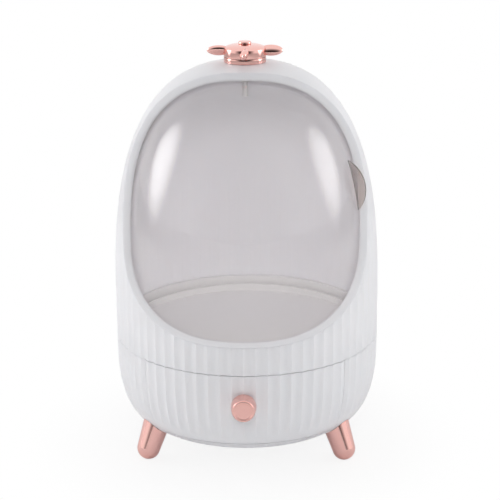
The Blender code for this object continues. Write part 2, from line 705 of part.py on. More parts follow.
def make_upper_shell(finish):
    """The fluted egg-shaped cover, with a bore for the spindle in its crown and the big front opening."""
    crown = height_at(BORE_RADIUS)
    shell = part("upper_shell", fluted_shell_mesh("upper_shell", SEAM_HEIGHT + JOIN_GAP / 2, crown), finish)
    edge = opening_edge()
    rings = [[sunk(point, depth) for point, _ in edge] for depth in (-OVERRUN, SHELL_WALL + OVERRUN)]
    tips = [(0, -BODY_RADIUS * share, OPENING_WIDEST_HEIGHT) for share in CUTTER_TIP_SHARES]
    boolean(shell, "DIFFERENCE", cutter("opening", loft_mesh("opening", rings, tips)))


def make_opening_frame(finish):
    """The bevelled rim of the opening: its section is carried round the edge of the opening."""
    back = SHELL_WALL + JOIN_GAP + FACET_SAG
    section = [(JOIN_GAP, 0), (BEVEL_WIDTH, BEVEL_DEPTH), (BEVEL_WIDTH, FRAME_DEPTH),
               (-FRAME_FLANGE_WIDTH, FRAME_DEPTH), (-FRAME_FLANGE_WIDTH, back), (JOIN_GAP, back)]
    edge = opening_edge()
    rings = [[sunk(point + way * width, depth) for point, way in edge] for width, depth in section]
    part("opening_frame", smooth(loft_mesh("opening_frame", rings), SHARP_ANGLE), finish)


def make_door(finish, pull_finish):
    """A clear slice of the egg just inside the frame, hung from an eye on the axis, with a half-moon pull."""
    foot = TRACK_FLOOR + JOIN_GAP
    faces = []
    for inset in (DOOR_INSET, DOOR_INSET + DOOR_WALL):
        seat = height_at(PIVOT_FLANGE_RADIUS, inset)
        faces.append(side_line(foot, height_at(BORE_RADIUS, inset), inset, (seat,)))
    outer, inner = faces
    mesh = turned_mesh("door", outer[::-1] + inner, INNER_COLUMNS, closed=True)
    door = part("door", mesh, finish, door_turn)
    rest = sector(DOOR_HALF_ANGLE, 2 * math.pi - DOOR_HALF_ANGLE, BODY_RADIUS + OVERRUN, DOOR_EYE_RADIUS)
    boolean(door, "DIFFERENCE", cutter("door_rest", prism_mesh("door_rest", rest, UNDERSIDE_HEIGHT, CROWN_HEIGHT)))
    seat = side_line(PULL_FOOT_HEIGHT, PULL_FOOT_HEIGHT + PULL_LENGTH, DOOR_INSET - JOIN_GAP)
    low, high = Vector(seat[0]), Vector(seat[-1])
    chord = high - low
    away = Vector((chord.y, -chord.x)).normalized()
    half = chord.length / 2
    arc_radius = (half ** 2 + PULL_REACH ** 2) / (2 * PULL_REACH)
    middle = (low + high) / 2 + away * (PULL_REACH - arc_radius)
    open_angle = math.asin(half / arc_radius)
    turns = np.linspace(open_angle, -open_angle, 4 * ARC_STEPS)[1:-1]
    arc = [middle + arc_radius * (away * math.cos(turn) + chord.normalized() * math.sin(turn)) for turn in turns]
    plan = [*seat, *[tuple(point) for point in arc]]
    mesh = prism_mesh("door_pull", plan, -PULL_THICKNESS / 2, PULL_THICKNESS / 2, along="Y")
    pull = part("door_pull", mesh, pull_finish, door_turn)
    beside = [math.atan2(point.x, -point.y) for point, _ in opening_edge()
              if point.x > 0 and PULL_FOOT_HEIGHT < point.z < PULL_FOOT_HEIGHT + PULL_LENGTH]
    pull.rotation_euler = (0, 0, min(beside) - PULL_OFFSET_ANGLE - math.pi / 2)


def make_pivot(bush_finish, spindle_finish):
    """What the door and the propeller turn on: a long spindle through the crown, a spacer and a nut."""
    roof = height_at(PIVOT_FLANGE_RADIUS, SHELL_WALL)
    door_face = height_at(BORE_RADIUS, DOOR_INSET)
    points = [(PIVOT_FLANGE_RADIUS, roof - JOIN_GAP), (PIVOT_FLANGE_RADIUS, door_face + JOIN_GAP),
              (BORE_RADIUS, door_face + JOIN_GAP), (BORE_RADIUS, roof - JOIN_GAP)]
    part("door_spacer", turned_mesh("door_spacer", points, KNOB_COLUMNS, closed=True), bush_finish)
    nut_top = height_at(PIVOT_FLANGE_RADIUS, DOOR_INSET + DOOR_WALL) - JOIN_GAP
    nut_foot = nut_top - NUT_DEPTH
    hub = PIVOT_FLANGE_RADIUS * NUT_HUB_SHARE
    points = [(PIVOT_FLANGE_RADIUS, nut_top), (PIVOT_FLANGE_RADIUS, (nut_top + nut_foot) / 2), (hub, nut_foot),
              (BORE_RADIUS, nut_foot), (BORE_RADIUS, nut_top)]
    part("pivot_nut", turned_mesh("pivot_nut", points, KNOB_COLUMNS, closed=True), bush_finish)
    collar_foot = HUB_BASE_TOP + JOIN_GAP
    points = [(0, BUTTON_FOOT + BUTTON_BORE_DEPTH - JOIN_GAP), (SPINDLE_RADIUS, BUTTON_FOOT + BUTTON_BORE_DEPTH
              - JOIN_GAP), (SPINDLE_RADIUS, COLLAR_TOP), (COLLAR_RADIUS, COLLAR_TOP), (COLLAR_RADIUS, collar_foot),
              (SPINDLE_RADIUS, collar_foot), (SPINDLE_RADIUS, SPINDLE_TAIL_HEIGHT), (0, SPINDLE_TAIL_HEIGHT)]
    part("centre_spindle", turned_mesh("centre_spindle", points, LEG_COLUMNS), spindle_finish)


def cap_line(grow, boss):
    """The cap's rounded shoulder, from beside the axis out to its upright side, grown by some distance."""
    power = 2 / CAP_DOME_POWER
    turns = np.linspace(0, math.pi / 2, ARC_STEPS + 1)
    across = HUB_RADIUS + grow - boss
    tall = CAP_DOME_HEIGHT + grow
    return [(boss + across * math.sin(turn) ** power, CAP_SIDE_TOP + tall * max(math.cos(turn), 0) ** power)
            for turn in turns]


def make_propeller(finish):
    """A fixed round foot on the crown, and the spinning cap with its four blades and the button over it."""
    skirt = side_line(height_at(HUB_RADIUS, -JOIN_GAP), height_at(BORE_RADIUS, -JOIN_GAP), -JOIN_GAP)
    points = [(HUB_RADIUS, HUB_BASE_TOP), *skirt, (BORE_RADIUS, HUB_BASE_TOP)]
    part("propeller_base", turned_mesh("propeller_base", points, KNOB_COLUMNS, closed=True), finish)

    inner = cap_line(-CAP_WALL, CAP_BOSS_RADIUS)[::-1]
    boss_foot = COLLAR_TOP + JOIN_GAP
    points = [(BORE_RADIUS, CAP_TOP), *cap_line(0, BUTTON_RADIUS), (HUB_RADIUS, CAP_FOOT),
              (HUB_RADIUS - CAP_WALL, CAP_FOOT), *inner, (CAP_BOSS_RADIUS, boss_foot), (BORE_RADIUS, boss_foot)]
    cap = part("propeller_cap", turned_mesh("propeller_cap", points, KNOB_COLUMNS, closed=True), finish,
               propeller_spin)

    middle = BLADE_TIP_RADIUS - BLADE_HALF_LENGTH
    blade_height = HUB_BASE_TOP + BLADE_RISE
    shape = bmesh.new()
    bmesh.ops.create_uvsphere(shape, u_segments=BLADE_RIBS, v_segments=BLADE_RIBS // 2, radius=1)
    bmesh.ops.rotate(shape, verts=shape.verts, matrix=Euler((0, math.pi / 2, 0)).to_matrix())
    bmesh.ops.scale(shape, verts=shape.verts, vec=(BLADE_HALF_LENGTH, BLADE_HALF_CHORD, BLADE_HALF_THICKNESS))
    bmesh.ops.rotate(shape, verts=shape.verts, matrix=Euler((BLADE_PITCH, 0, 0)).to_matrix())
    bmesh.ops.translate(shape, verts=shape.verts, vec=(middle, 0, blade_height))
    first = part("blade_1", smooth(finished(shape, "blade"), SHARP_ANGLE), finish, propeller_spin)
    room = cap_line(JOIN_GAP, BUTTON_RADIUS)
    room_mesh = turned_mesh("cap_room", [(0, room[0][1]), *room, (HUB_RADIUS + JOIN_GAP, CROWN_HEIGHT),
                            (0, CROWN_HEIGHT)], KNOB_COLUMNS)
    boolean(first, "DIFFERENCE", cutter("cap_room", room_mesh))
    tang = cutter("tang", cylinder_mesh("tang", TANG_RADIUS, HUB_RADIUS - TANG_DEPTH, middle, SCREW_COLUMNS))
    tang.rotation_euler = (0, math.pi / 2, 0)
    tang.location = (0, 0, blade_height)
    boolean(first, "UNION", tang)
    blade = evaluated_mesh(first, "blade")
    first.modifiers.clear()
    first.data = blade
    hole = cylinder_mesh("tang_hole", TANG_RADIUS + JOIN_GAP, CAP_BOSS_RADIUS + CAP_WALL, BLADE_TIP_RADIUS,
                         SCREW_COLUMNS)
    for place in range(BLADE_COUNT):
        turn = 2 * math.pi * place / BLADE_COUNT
        made = first if place == 0 else part(f"blade_{place + 1}", blade, finish, propeller_spin)
        made.rotation_euler = (0, 0, turn)
        hole_cutter = cutter(f"tang_hole_{place + 1}", hole)
        hole_cutter.rotation_euler = (0, math.pi / 2, turn)
        hole_cutter.location = (0, 0, blade_height)
        boolean(cap, "DIFFERENCE", hole_cutter)

    button_top = BUTTON_FOOT + BUTTON_DEPTH
    edge = BUTTON_DEPTH * BUTTON_EDGE_SHARE
    points = [(0, button_top), (BUTTON_RADIUS - edge, button_top), (BUTTON_RADIUS, button_top - edge),
              (BUTTON_RADIUS, BUTTON_FOOT), (BORE_RADIUS, BUTTON_FOOT),
              (BORE_RADIUS, BUTTON_FOOT + BUTTON_BORE_DEPTH), (0, BUTTON_FOOT + BUTTON_BORE_DEPTH)]
    part("cap_button", turned_mesh("cap_button", points, KNOB_COLUMNS), finish)


def tray_plan(wall):
    """Plan of the tray moved in by wall: straight sides, rounded rear corners, and open-ended at the front."""
    half = TRAY_HALF_WIDTH - wall
    rear = REAR_STOP - wall
    round_radius = TRAY_CORNER_RADIUS - wall
    turns = np.linspace(0, math.pi / 2, ARC_STEPS + 1)
    corner = [(half - round_radius + round_radius * math.cos(turn), rear - round_radius + round_radius
               * math.sin(turn)) for turn in turns]
    front = -BODY_RADIUS - OVERRUN
    return [(-half, front), (half, front), *corner, *[(-x, y) for x, y in corner[::-1]]]


def make_drawer(front_finish, tray_finish, knob_finish, screw_finish):
    """The drawer: a slice of the fluted wall, and a tray with a front wall that nests behind that slice."""
    low = PLATE_TOP + DRAWER_GAP
    high = SEAM_HEIGHT - DRAWER_GAP
    front = part("drawer_front", fluted_shell_mesh("drawer_front", low, high), front_finish, drawer_slide)
    half = DRAWER_HALF_ANGLE - JOIN_GAP / BODY_RADIUS
    slice_mesh = prism_mesh("drawer_slice", sector(-half, half, BODY_RADIUS + OVERRUN), UNDERSIDE_HEIGHT,
                            CROWN_HEIGHT)
    boolean(front, "INTERSECT", cutter("drawer_slice", slice_mesh))

    behind = SHELL_WALL + JOIN_GAP + FACET_SAG
    tray = part("drawer_tray", prism_mesh("drawer_tray", tray_plan(0), TRAY_FOOT, TRAY_TOP), tray_finish,
                drawer_slide)
    seat = (KNOB_HEIGHT - KNOB_SCREW_HEAD_RADIUS,)
    boolean(tray, "INTERSECT", body_solid("tray_room", behind, PLATE_TOP, SEAM_HEIGHT, seat))
    lug = box_mesh("tray_lug", (-STOP_WIDTH / 2, REAR_STOP - TRAY_WALL, TRAY_TOP - STOP_OVERLAP),
                   (STOP_WIDTH / 2, REAR_STOP, STOP_TOP))
    boolean(tray, "UNION", cutter("tray_lug", lug))
    hollow_foot = TRAY_FOOT + TRAY_WALL
    hollow = cutter("tray_hollow", prism_mesh("tray_hollow", tray_plan(TRAY_WALL), hollow_foot, SEAM_HEIGHT))
    room = body_solid("hollow_room", behind + TRAY_WALL, PLATE_TOP, SEAM_HEIGHT + OVERRUN, seat)
    boolean(hollow, "INTERSECT", room)
    boolean(tray, "DIFFERENCE", hollow)

    knob_face = BODY_RADIUS + JOIN_GAP
    head_seat = radius_at(seat[0], behind + TRAY_WALL) - JOIN_GAP
    hole = cylinder_mesh("knob_hole", KNOB_SCREW_RADIUS + JOIN_GAP, head_seat - OVERRUN, knob_face + OVERRUN,
                         SCREW_COLUMNS)
    hole_cutter = cutter("knob_hole", hole)
    hole_cutter.location = (0, 0, KNOB_HEIGHT)
    hole_cutter.rotation_euler = (math.pi / 2, 0, 0)
    boolean(front, "DIFFERENCE", hole_cutter)
    boolean(tray, "DIFFERENCE", hole_cutter)

    bore_radius = KNOB_SCREW_RADIUS + JOIN_GAP
    side = [(KNOB_RADIUS * across, KNOB_REACH * out) for across, out in KNOB_SHARES]
    points = [*side, (bore_radius, 0), (bore_radius, KNOB_BORE_DEPTH), (0, KNOB_BORE_DEPTH)]
    knob = part("drawer_knob", turned_mesh("drawer_knob", points, KNOB_COLUMNS), knob_finish, drawer_slide)
    knob.location = (0, -knob_face, KNOB_HEIGHT)
    knob.rotation_euler = (math.pi / 2, 0, 0)
    shank = knob_face + KNOB_BORE_DEPTH - JOIN_GAP - head_seat
    mesh = screw_mesh("knob_screw", KNOB_SCREW_RADIUS, KNOB_SCREW_HEAD_RADIUS, KNOB_SCREW_HEAD_DEPTH, shank)
    screw = part("knob_screw", mesh, screw_finish, drawer_slide)
    screw.location = (0, -head_seat, KNOB_HEIGHT)
    screw.rotation_euler = (-math.pi / 2, 0, 0)


def make_runners(finish):
    """Two rails on the base plate: the tray slides on their flanges, between their upright guides."""
    guide = TRAY_HALF_WIDTH + RUNNER_CLEARANCE
    edge = guide + RUNNER_WALL
    inside = edge - RUNNER_FLANGE
    top = TRAY_FOOT - JOIN_GAP
    foot = PLATE_FLOOR_TOP + JOIN_GAP
    section = [(inside, foot), (inside + RUNNER_WALL, foot), (inside + RUNNER_WALL, top - RUNNER_WALL),
               (edge, top - RUNNER_WALL), (edge, top + RUNNER_GUIDE_HEIGHT), (guide, top + RUNNER_GUIDE_HEIGHT),
               (guide, top), (inside, top)]
    for name, mirror in (("runner_left", -1), ("runner_right", 1)):
        plan = [(across * mirror, height) for across, height in section]
        part(name, prism_mesh(name, plan, -RUNNER_LENGTH / 2, RUNNER_LENGTH / 2, along="Y"), finish)


def main():
    white = material("white_abs", (0.86, 0.86, 0.90), 0.35)
    inner_white = material("inner_white", (0.82, 0.81, 0.80), 0.45)
    smoky = material("smoky_clear", (0.78, 0.72, 0.70), 0.05, alpha=0.35)
    pull_clear = material("pull_clear", (0.62, 0.56, 0.53), 0.08, alpha=0.5)
    rose_gold = material("rose_gold", (0.86, 0.45, 0.40), 0.12, metallic=1.0)
    steel = material("steel", (0.60, 0.60, 0.62), 0.30, metallic=1.0)
    nylon = material("nylon", (0.85, 0.84, 0.80), 0.50)

    make_base_plate(white)
    make_legs(rose_gold, steel)
    make_base_housing(white)
    make_deck(inner_white)
    make_post_screws(steel)
    make_upper_shell(white)
    make_opening_frame(white)
    make_door(smoky, pull_clear)
    make_pivot(nylon, steel)
    make_propeller(rose_gold)
    make_drawer(white, inner_white, rose_gold, steel)
    make_runners(nylon)


main()
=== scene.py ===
# %% [markdown]
# # A makeup organizer with a turning clear door
#
# The object is a moulded plastic egg on four plated legs. A smoky clear door turns inside a round front
# opening, a drawer slides out under it, and a little propeller spins on the crown.
#
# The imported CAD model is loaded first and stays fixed. It says where every piece sits and which body
# carries it. Everything that a person sees is then modelled over it more finely, or given a finish.

import math

import bmesh
import bpy
import numpy as np
from mathutils import Matrix, Vector


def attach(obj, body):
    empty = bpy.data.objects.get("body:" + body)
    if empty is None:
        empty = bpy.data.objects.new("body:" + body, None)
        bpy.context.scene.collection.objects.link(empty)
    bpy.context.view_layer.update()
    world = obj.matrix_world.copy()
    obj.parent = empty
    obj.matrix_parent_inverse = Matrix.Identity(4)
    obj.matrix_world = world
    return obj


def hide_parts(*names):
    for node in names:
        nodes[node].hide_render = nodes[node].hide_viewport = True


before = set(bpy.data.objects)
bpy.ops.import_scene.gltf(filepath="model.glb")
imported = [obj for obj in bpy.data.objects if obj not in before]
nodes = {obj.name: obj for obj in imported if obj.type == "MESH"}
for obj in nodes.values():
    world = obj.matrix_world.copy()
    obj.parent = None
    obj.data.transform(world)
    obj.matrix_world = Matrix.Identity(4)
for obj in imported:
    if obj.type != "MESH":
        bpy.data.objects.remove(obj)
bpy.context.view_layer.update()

# %% [markdown]
# ## The camera first
#
# The picture was taken from a little above, with a long lens, so the egg's sides stay nearly parallel.
# A fit of the body's outline gave the distance, the height and a tiny turn and roll. The camera could be
# aimed with a Track To constraint, but a constraint can't hold the roll, so its matrix is built from the
# three turns in order: the turn about the upright, the tilt, and the roll about the line of sight.

# %% Camera
CAMERA_SPOT = Vector((0.0411, -1.4278, 0.641))
CAMERA_TILT = math.radians(90 - 17.26)
CAMERA_TURN = math.radians(1.5)
CAMERA_ROLL = math.radians(-0.42)

bpy.ops.object.camera_add(location=CAMERA_SPOT)
camera = bpy.context.object
camera.name = "shop_camera"
camera.matrix_world = (Matrix.Translation(CAMERA_SPOT) @ Matrix.Rotation(CAMERA_TURN, 4, "Z")
                       @ Matrix.Rotation(CAMERA_TILT, 4, "X") @ Matrix.Rotation(CAMERA_ROLL, 4, "Z"))
camera.data.sensor_width = 36
camera.data.lens = 108.5
bpy.context.scene.camera = camera
bpy.context.scene.view_settings.view_transform = "Standard"
print("the camera stands", round(CAMERA_SPOT.length, 3), "m from the origin")

# %% [markdown]
# ## Hands and pencil
#
# Blender's modelling tools act on whatever is selected, so the scene's hands are emptied before each
# piece. The egg's lines are not circles, and no primitive holds them. They are drawn the way that a
# maker draws a section: one point is put down and extruded from spot to spot.

# %% Helpers that select and draw
def let_go():
    """Leaves edit mode and deselects everything."""
    if bpy.context.object and bpy.context.object.mode != "OBJECT":
        bpy.ops.object.mode_set(mode="OBJECT")
    bpy.ops.object.select_all(action="DESELECT")


def take(*pieces):
    """Selects these pieces alone. The first is the one that an operator works on."""
    let_go()
    for piece in pieces:
        piece.select_set(True)
    bpy.context.view_layer.objects.active = pieces[0]
    return pieces[0]


def open_up(piece, kind="VERT"):
    """Enters edit mode with nothing selected."""
    take(piece)
    bpy.ops.object.mode_set(mode="EDIT")
    bpy.ops.mesh.select_mode(type=kind)
    bpy.ops.mesh.select_all(action="DESELECT")


def choose(piece, kind, wanted):
    """Selects the corners, edges or faces for which wanted(element) holds, and says how many there are."""
    shape = bmesh.from_edit_mesh(piece.data)
    found = [item for item in getattr(shape, kind) if wanted(item)]
    for item in found:
        item.select_set(True)
    bmesh.update_edit_mesh(piece.data)
    return len(found)


def draw(name, points, closed=False):
    """A line through points, closed into a ring on request."""
    let_go()
    bpy.ops.mesh.primitive_plane_add(size=0.001)
    line = bpy.context.object
    line.name = line.data.name = name
    bpy.ops.object.mode_set(mode="EDIT")
    bpy.ops.mesh.select_mode(type="VERT")
    bpy.ops.mesh.merge(type="CENTER")
    bpy.ops.transform.translate(value=points[0])
    for before, after in zip(points, points[1:]):
        bpy.ops.mesh.extrude_region_move(TRANSFORM_OT_translate={"value": Vector(after) - Vector(before)})
    if closed:
        bpy.ops.mesh.select_all(action="DESELECT")
        choose(line, "verts", lambda corner: len(corner.link_edges) == 1)
        bpy.ops.mesh.edge_face_add()
    bpy.ops.object.mode_set(mode="OBJECT")
    return line


def joined(name, pieces):
    """Several pieces as one object."""
    whole = take(*pieces)
    if len(pieces) > 1:
        bpy.ops.object.join()
    whole.name = whole.data.name = name
    return whole


def tidy_skin(piece):
    """Merges doubled corners and turns every face outwards."""
    open_up(piece)
    bpy.ops.mesh.select_all(action="SELECT")
    bpy.ops.mesh.remove_doubles(threshold=0.00002)
    bpy.ops.mesh.normals_make_consistent(inside=False)
    bpy.ops.object.mode_set(mode="OBJECT")


def polish(piece, sharpest):
    """Smooth shading, with a crease wherever faces meet more sharply than the angle in degrees."""
    take(piece)
    bpy.ops.object.shade_smooth_by_angle(angle=math.radians(sharpest))


def report(piece):
    """Prints how large a piece is, and how many of its edges are left open."""
    spots = np.array([corner.co for corner in piece.data.vertices]) * 1000
    shape = bmesh.new()
    shape.from_mesh(piece.data)
    loose = sum(not edge.is_manifold for edge in shape.edges)
    volume = shape.calc_volume(signed=True) * 1e6
    shape.free()
    print(f"{piece.name}: {len(piece.data.polygons)} faces, {loose} open edges, {volume:.2f} cm3, "
          f"from {spots.min(axis=0).round(1)} to {spots.max(axis=0).round(1)} mm")


# %% Stand a new piece in for a CAD node
def stand_in(piece, body, slot, finish, *replaced):
    """Gives a finished piece its material and its body, and hides the CAD nodes that it stands for. The slot is
    not used.
    """
    piece.data.materials.clear()
    piece.data.materials.append(finish)
    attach(piece, body)
    if replaced:
        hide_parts(*replaced)
    report(piece)


# %% [markdown]
# ## The egg's side line
#
# On the real object the mould's side line is a soft rounding at the foot, a short upright waist, and a
# long dome. Each part is a quarter of a superellipse, which is a circle drawn with a power other than
# two. Every shell, rim and door below is this one line, moved in by some depth, so they nest.

# %% Side line, and the places on it
AXIS_Y = 0.00765
UNDERSIDE, WAIST, SHOULDER, CROWN = 0.026, 0.102, 0.146, 0.385
BODY_RADIUS, FOOT_RADIUS = 0.131, 0.0936
SEAM, PLATE_TOP = 0.112, 0.037
CROWN_BORE, WALL = 0.0033, 0.0032
FIT, HALF_FIT = 0.0003, 0.00015
FOOT_POWER, DOME_POWER = 2 / 2.46, 2 / 2.64
EGG_STEPS = 900

quarter = np.linspace(0, math.pi / 2, EGG_STEPS)
EGG_RADII = np.concatenate([FOOT_RADIUS + (BODY_RADIUS - FOOT_RADIUS) * np.sin(quarter) ** FOOT_POWER,
                            BODY_RADIUS * np.cos(quarter) ** DOME_POWER])
EGG_HEIGHTS = np.concatenate([UNDERSIDE + (WAIST - UNDERSIDE) * (1 - np.cos(quarter) ** FOOT_POWER),
                              SHOULDER + (CROWN - SHOULDER) * np.sin(quarter) ** DOME_POWER])
EGG_HEADINGS = np.arctan2(np.gradient(EGG_HEIGHTS), np.gradient(EGG_RADII))


def egg(inset):
    """Radii and heights of the side line moved in by inset."""
    return EGG_RADII - inset * np.sin(EGG_HEADINGS), EGG_HEIGHTS + inset * np.cos(EGG_HEADINGS)


def egg_line(low, high, inset, count):
    """Evenly spaced (radius, height) points up the side line between two heights."""
    radii, heights = egg(inset)
    length = np.concatenate([[0], np.cumsum(np.hypot(np.diff(radii), np.diff(heights)))])
    marks = np.linspace(np.interp(low, heights, length), np.interp(high, heights, length), count)
    return list(zip(np.interp(marks, length, radii), np.interp(marks, length, heights)))


def egg_height(radius, inset=0.0):
    """How high the dome is at this distance from the axis."""
    radii, heights = egg(inset)
    return float(np.interp(-radius, -radii[EGG_STEPS:], heights[EGG_STEPS:]))


def on_axis(radius, height, angle=0.0):
    """A point at an angle in degrees that counts from the front towards the right."""
    turn = math.radians(angle)
    return Vector((math.sin(turn) * radius, AXIS_Y - math.cos(turn) * radius, height))


print("the crown is", round(egg_height(0.0) * 1000, 1), "mm up")

# %% [markdown]
# ## Turning a sheet
#
# A side line is spun about the egg's upright axis into a thin sheet. Two sheets, the outer and the inner
# face of a moulded wall, are then joined by bridging their open edges. A Solidify modifier could give the
# thickness too, but two sheets let the flutes be carved outside and only whispered inside, as the real
# mould does. The ridges stand every five degrees, so the columns are counted in six to a flute.

# %% Spin a sheet, bridge two sheets into a wall
FLUTES = 72
COLUMNS_PER_FLUTE = 6
ASIDE = 0.05


def spun(name, line, start, span, columns):
    """The line turned about the axis, from start to start minus span degrees."""
    sheet = draw(name, [on_axis(radius, height, start) for radius, height in line])
    open_up(sheet)
    bpy.ops.mesh.select_all(action="SELECT")
    bpy.ops.mesh.spin(steps=columns, angle=math.radians(span), center=(0, AXIS_Y, 0), axis=(0, 0, 1))
    bpy.ops.object.mode_set(mode="OBJECT")
    tidy_skin(sheet)
    return sheet


def bridge_where(piece, wanted):
    """Bridges the open edges for which wanted(middle) holds."""
    open_up(piece, "EDGE")
    choose(piece, "edges",
           lambda edge: edge.is_boundary and wanted((edge.verts[0].co + edge.verts[1].co) / 2))
    bpy.ops.mesh.bridge_edge_loops()
    bpy.ops.object.mode_set(mode="OBJECT")


def wall(name, outer, inner, split_height=None):
    """One closed wall out of two sheets. A full turn has open edges above and below, a slice only one.

    Rings with one middle would be bridged with a twist, so the inner sheet hangs lower meanwhile.
    """
    inner.data.transform(Matrix.Translation((0, 0, -ASIDE)))
    whole = joined(name, [outer, inner])
    outside = len(whole.data.vertices) // 2
    if split_height is None:
        bridge_where(whole, lambda middle: True)
    else:
        bridge_where(whole, lambda middle: middle.z < split_height)
        bridge_where(whole, lambda middle: middle.z > split_height)
    open_up(whole)
    choose(whole, "verts", lambda corner: corner.index >= outside)
    bpy.ops.transform.translate(value=(0, 0, ASIDE))
    bpy.ops.object.mode_set(mode="OBJECT")
    tidy_skin(whole)
    return whole


# %% [markdown]
# ## Flutes
#
# The lower half of the egg is scalloped: shallow hollows between sharp upright ridges, which fade out
# under the shoulder and above the foot. They could be sculpted, or cut with 72 rods. Here each corner of
# the fine sheet gets a weight, full in the middle of a hollow and nothing on a ridge, and a Displace
# modifier sinks it along its own normal by that share of the depth. One number then sets all hollows.

# %% Scallop a sheet
FLUTE_DEPTH = 0.0012
INNER_FLUTE_DEPTH = 0.00035
FLUTE_START, FLUTE_RISE = 0.042, 0.010
FLUTE_END, FLUTE_FADE = 0.250, 0.022
FAINTEST = 0.001


def hollow_share(point):
    """Between 0 on a ridge and 1 in the middle of a hollow at full depth."""
    angle = math.degrees(math.atan2(point.x, AXIS_Y - point.y)) % 360
    across = (angle * FLUTES / 360) % 1
    foot = min(max((point.z - FLUTE_START) / FLUTE_RISE, 0), 1)
    end = min(max((FLUTE_END - point.z) / FLUTE_FADE, 0), 1)
    return 4 * across * (1 - across) * min(foot, end)


def scallop(sheet, depth):
    """Sinks the hollows into a sheet, to the depth in their middle."""
    group = sheet.vertex_groups.new(name="hollows")
    for corner in sheet.data.vertices:
        share = hollow_share(corner.co)
        if share > FAINTEST:
            group.add([corner.index], share, "REPLACE")
    take(sheet)
    sink = sheet.modifiers.new("sink", "DISPLACE")
    sink.vertex_group = "hollows"
    sink.mid_level = 0
    sink.strength = -depth
    bpy.ops.object.modifier_apply(modifier="sink")
    sheet.vertex_groups.clear()
    return sheet


def fluted_wall(name, low, high, start, span, rows):
    """A slice or the whole turn of the moulded wall, scalloped outside and faintly inside."""
    columns = round(span * FLUTES * COLUMNS_PER_FLUTE / 360)
    inner_high = min(high, egg_height(CROWN_BORE, WALL))
    outer = scallop(spun(name + "_outer", egg_line(low, high, 0.0, rows), start, span, columns), FLUTE_DEPTH)
    inner = scallop(spun(name + "_inner", egg_line(low, inner_high, WALL, rows), start, span, columns),
                    INNER_FLUTE_DEPTH)
    return wall(name, outer, inner, (low + high) / 2 if span == 360 else None)


# %% [markdown]
# ## Finishes as node groups
#
# Moulded plastic is never one flat colour. Its tone drifts a little over a hand's breadth, a fine spark
# grain from the mould breaks up its shine, and fingers leave cloudy patches in the gloss. Three small
# node groups give these effects, and every material below uses them with its own numbers.

# %% Helpers for building nodes
def node_group(name, inputs, outputs):
    """An empty shader group with named number or colour sockets."""
    group = bpy.data.node_groups.new(name, "ShaderNodeTree")
    for way, sockets in (("INPUT", inputs), ("OUTPUT", outputs)):
        for label, kind, value in sockets:
            socket = group.interface.new_socket(name=label, in_out=way, socket_type="NodeSocket" + kind)
            if way == "INPUT":
                socket.default_value = value
    return group, group.nodes.new("NodeGroupInput"), group.nodes.new("NodeGroupOutput")


def add_node(tree, kind, links=(), **settings):
    """A node with its settings, and its input sockets linked or set."""
    made = tree.nodes.new("ShaderNode" + kind)
    for key, value in settings.items():
        setattr(made, key, value)
    for socket, value in links:
        if isinstance(value, bpy.types.NodeSocket):
            tree.links.new(value, made.inputs[socket])
        else:
            made.inputs[socket].default_value = value
    return made


# %% Tone drift
drift, given, put_out = node_group("tone_drift", [("Colour", "Color", (0.8, 0.8, 0.8, 1)),
                                                 ("Shade Colour", "Color", (0.7, 0.7, 0.7, 1)),
                                                 ("Patch Scale", "Float", 9.0), ("Amount", "Float", 0.5)],
                                   [("Colour", "Color", None)])
place = add_node(drift, "TexCoord")
cloud = add_node(drift, "TexNoise", [("Vector", place.outputs["Object"]),
                                     ("Scale", given.outputs["Patch Scale"]),
                                     ("Detail", 3.0), ("Roughness", 0.55)])
spread = add_node(drift, "MapRange", [("Value", cloud.outputs["Fac"]), ("From Min", 0.35),
                                      ("From Max", 0.65)])
amount = add_node(drift, "Math", [(0, spread.outputs["Result"]), (1, given.outputs["Amount"])],
                  operation="MULTIPLY")
blend_tone = add_node(drift, "Mix", [("Factor", amount.outputs[0]), (6, given.outputs["Colour"]),
                                     (7, given.outputs["Shade Colour"])], data_type="RGBA")
drift.links.new(blend_tone.outputs[2], put_out.inputs["Colour"])
print("tone_drift has", len(drift.nodes), "nodes")

# %% Mould grain
grain, given, put_out = node_group("mould_grain", [("Grain Scale", "Float", 1500.0),
                                                  ("Ripple Scale", "Float", 60.0), ("Ripple", "Float", 0.3)],
                                   [("Height", "Float", None)])
place = add_node(grain, "TexCoord")
spark = add_node(grain, "TexNoise", [("Vector", place.outputs["Object"]),
                                     ("Scale", given.outputs["Grain Scale"]), ("Detail", 2.0)])
ripple = add_node(grain, "TexNoise", [("Vector", place.outputs["Object"]),
                                      ("Scale", given.outputs["Ripple Scale"]), ("Detail", 1.0)])
both = add_node(grain, "Mix", [("Factor", given.outputs["Ripple"]), (2, spark.outputs["Fac"]),
                               (3, ripple.outputs["Fac"])], data_type="FLOAT")
grain.links.new(both.outputs[0], put_out.inputs["Height"])
print("mould_grain has", len(grain.nodes), "nodes")

# %% Handled gloss
gloss, given, put_out = node_group("handled_gloss", [("Dull", "Float", 0.4), ("Shiny", "Float", 0.3),
                                                    ("Patch Scale", "Float", 22.0)],
                                   [("Roughness", "Float", None)])
place = add_node(gloss, "TexCoord")
touch = add_node(gloss, "TexNoise", [("Vector", place.outputs["Object"]),
                                     ("Scale", given.outputs["Patch Scale"]),
                                     ("Detail", 4.0), ("Roughness", 0.6), ("Distortion", 0.4)])
cloudy = add_node(gloss, "MapRange", [("Value", touch.outputs["Fac"]), ("From Min", 0.3), ("From Max", 0.7),
                                      ("To Min", given.outputs["Shiny"]), ("To Max", given.outputs["Dull"])])
gloss.links.new(cloudy.outputs["Result"], put_out.inputs["Roughness"])
print("handled_gloss has", len(gloss.nodes), "nodes")


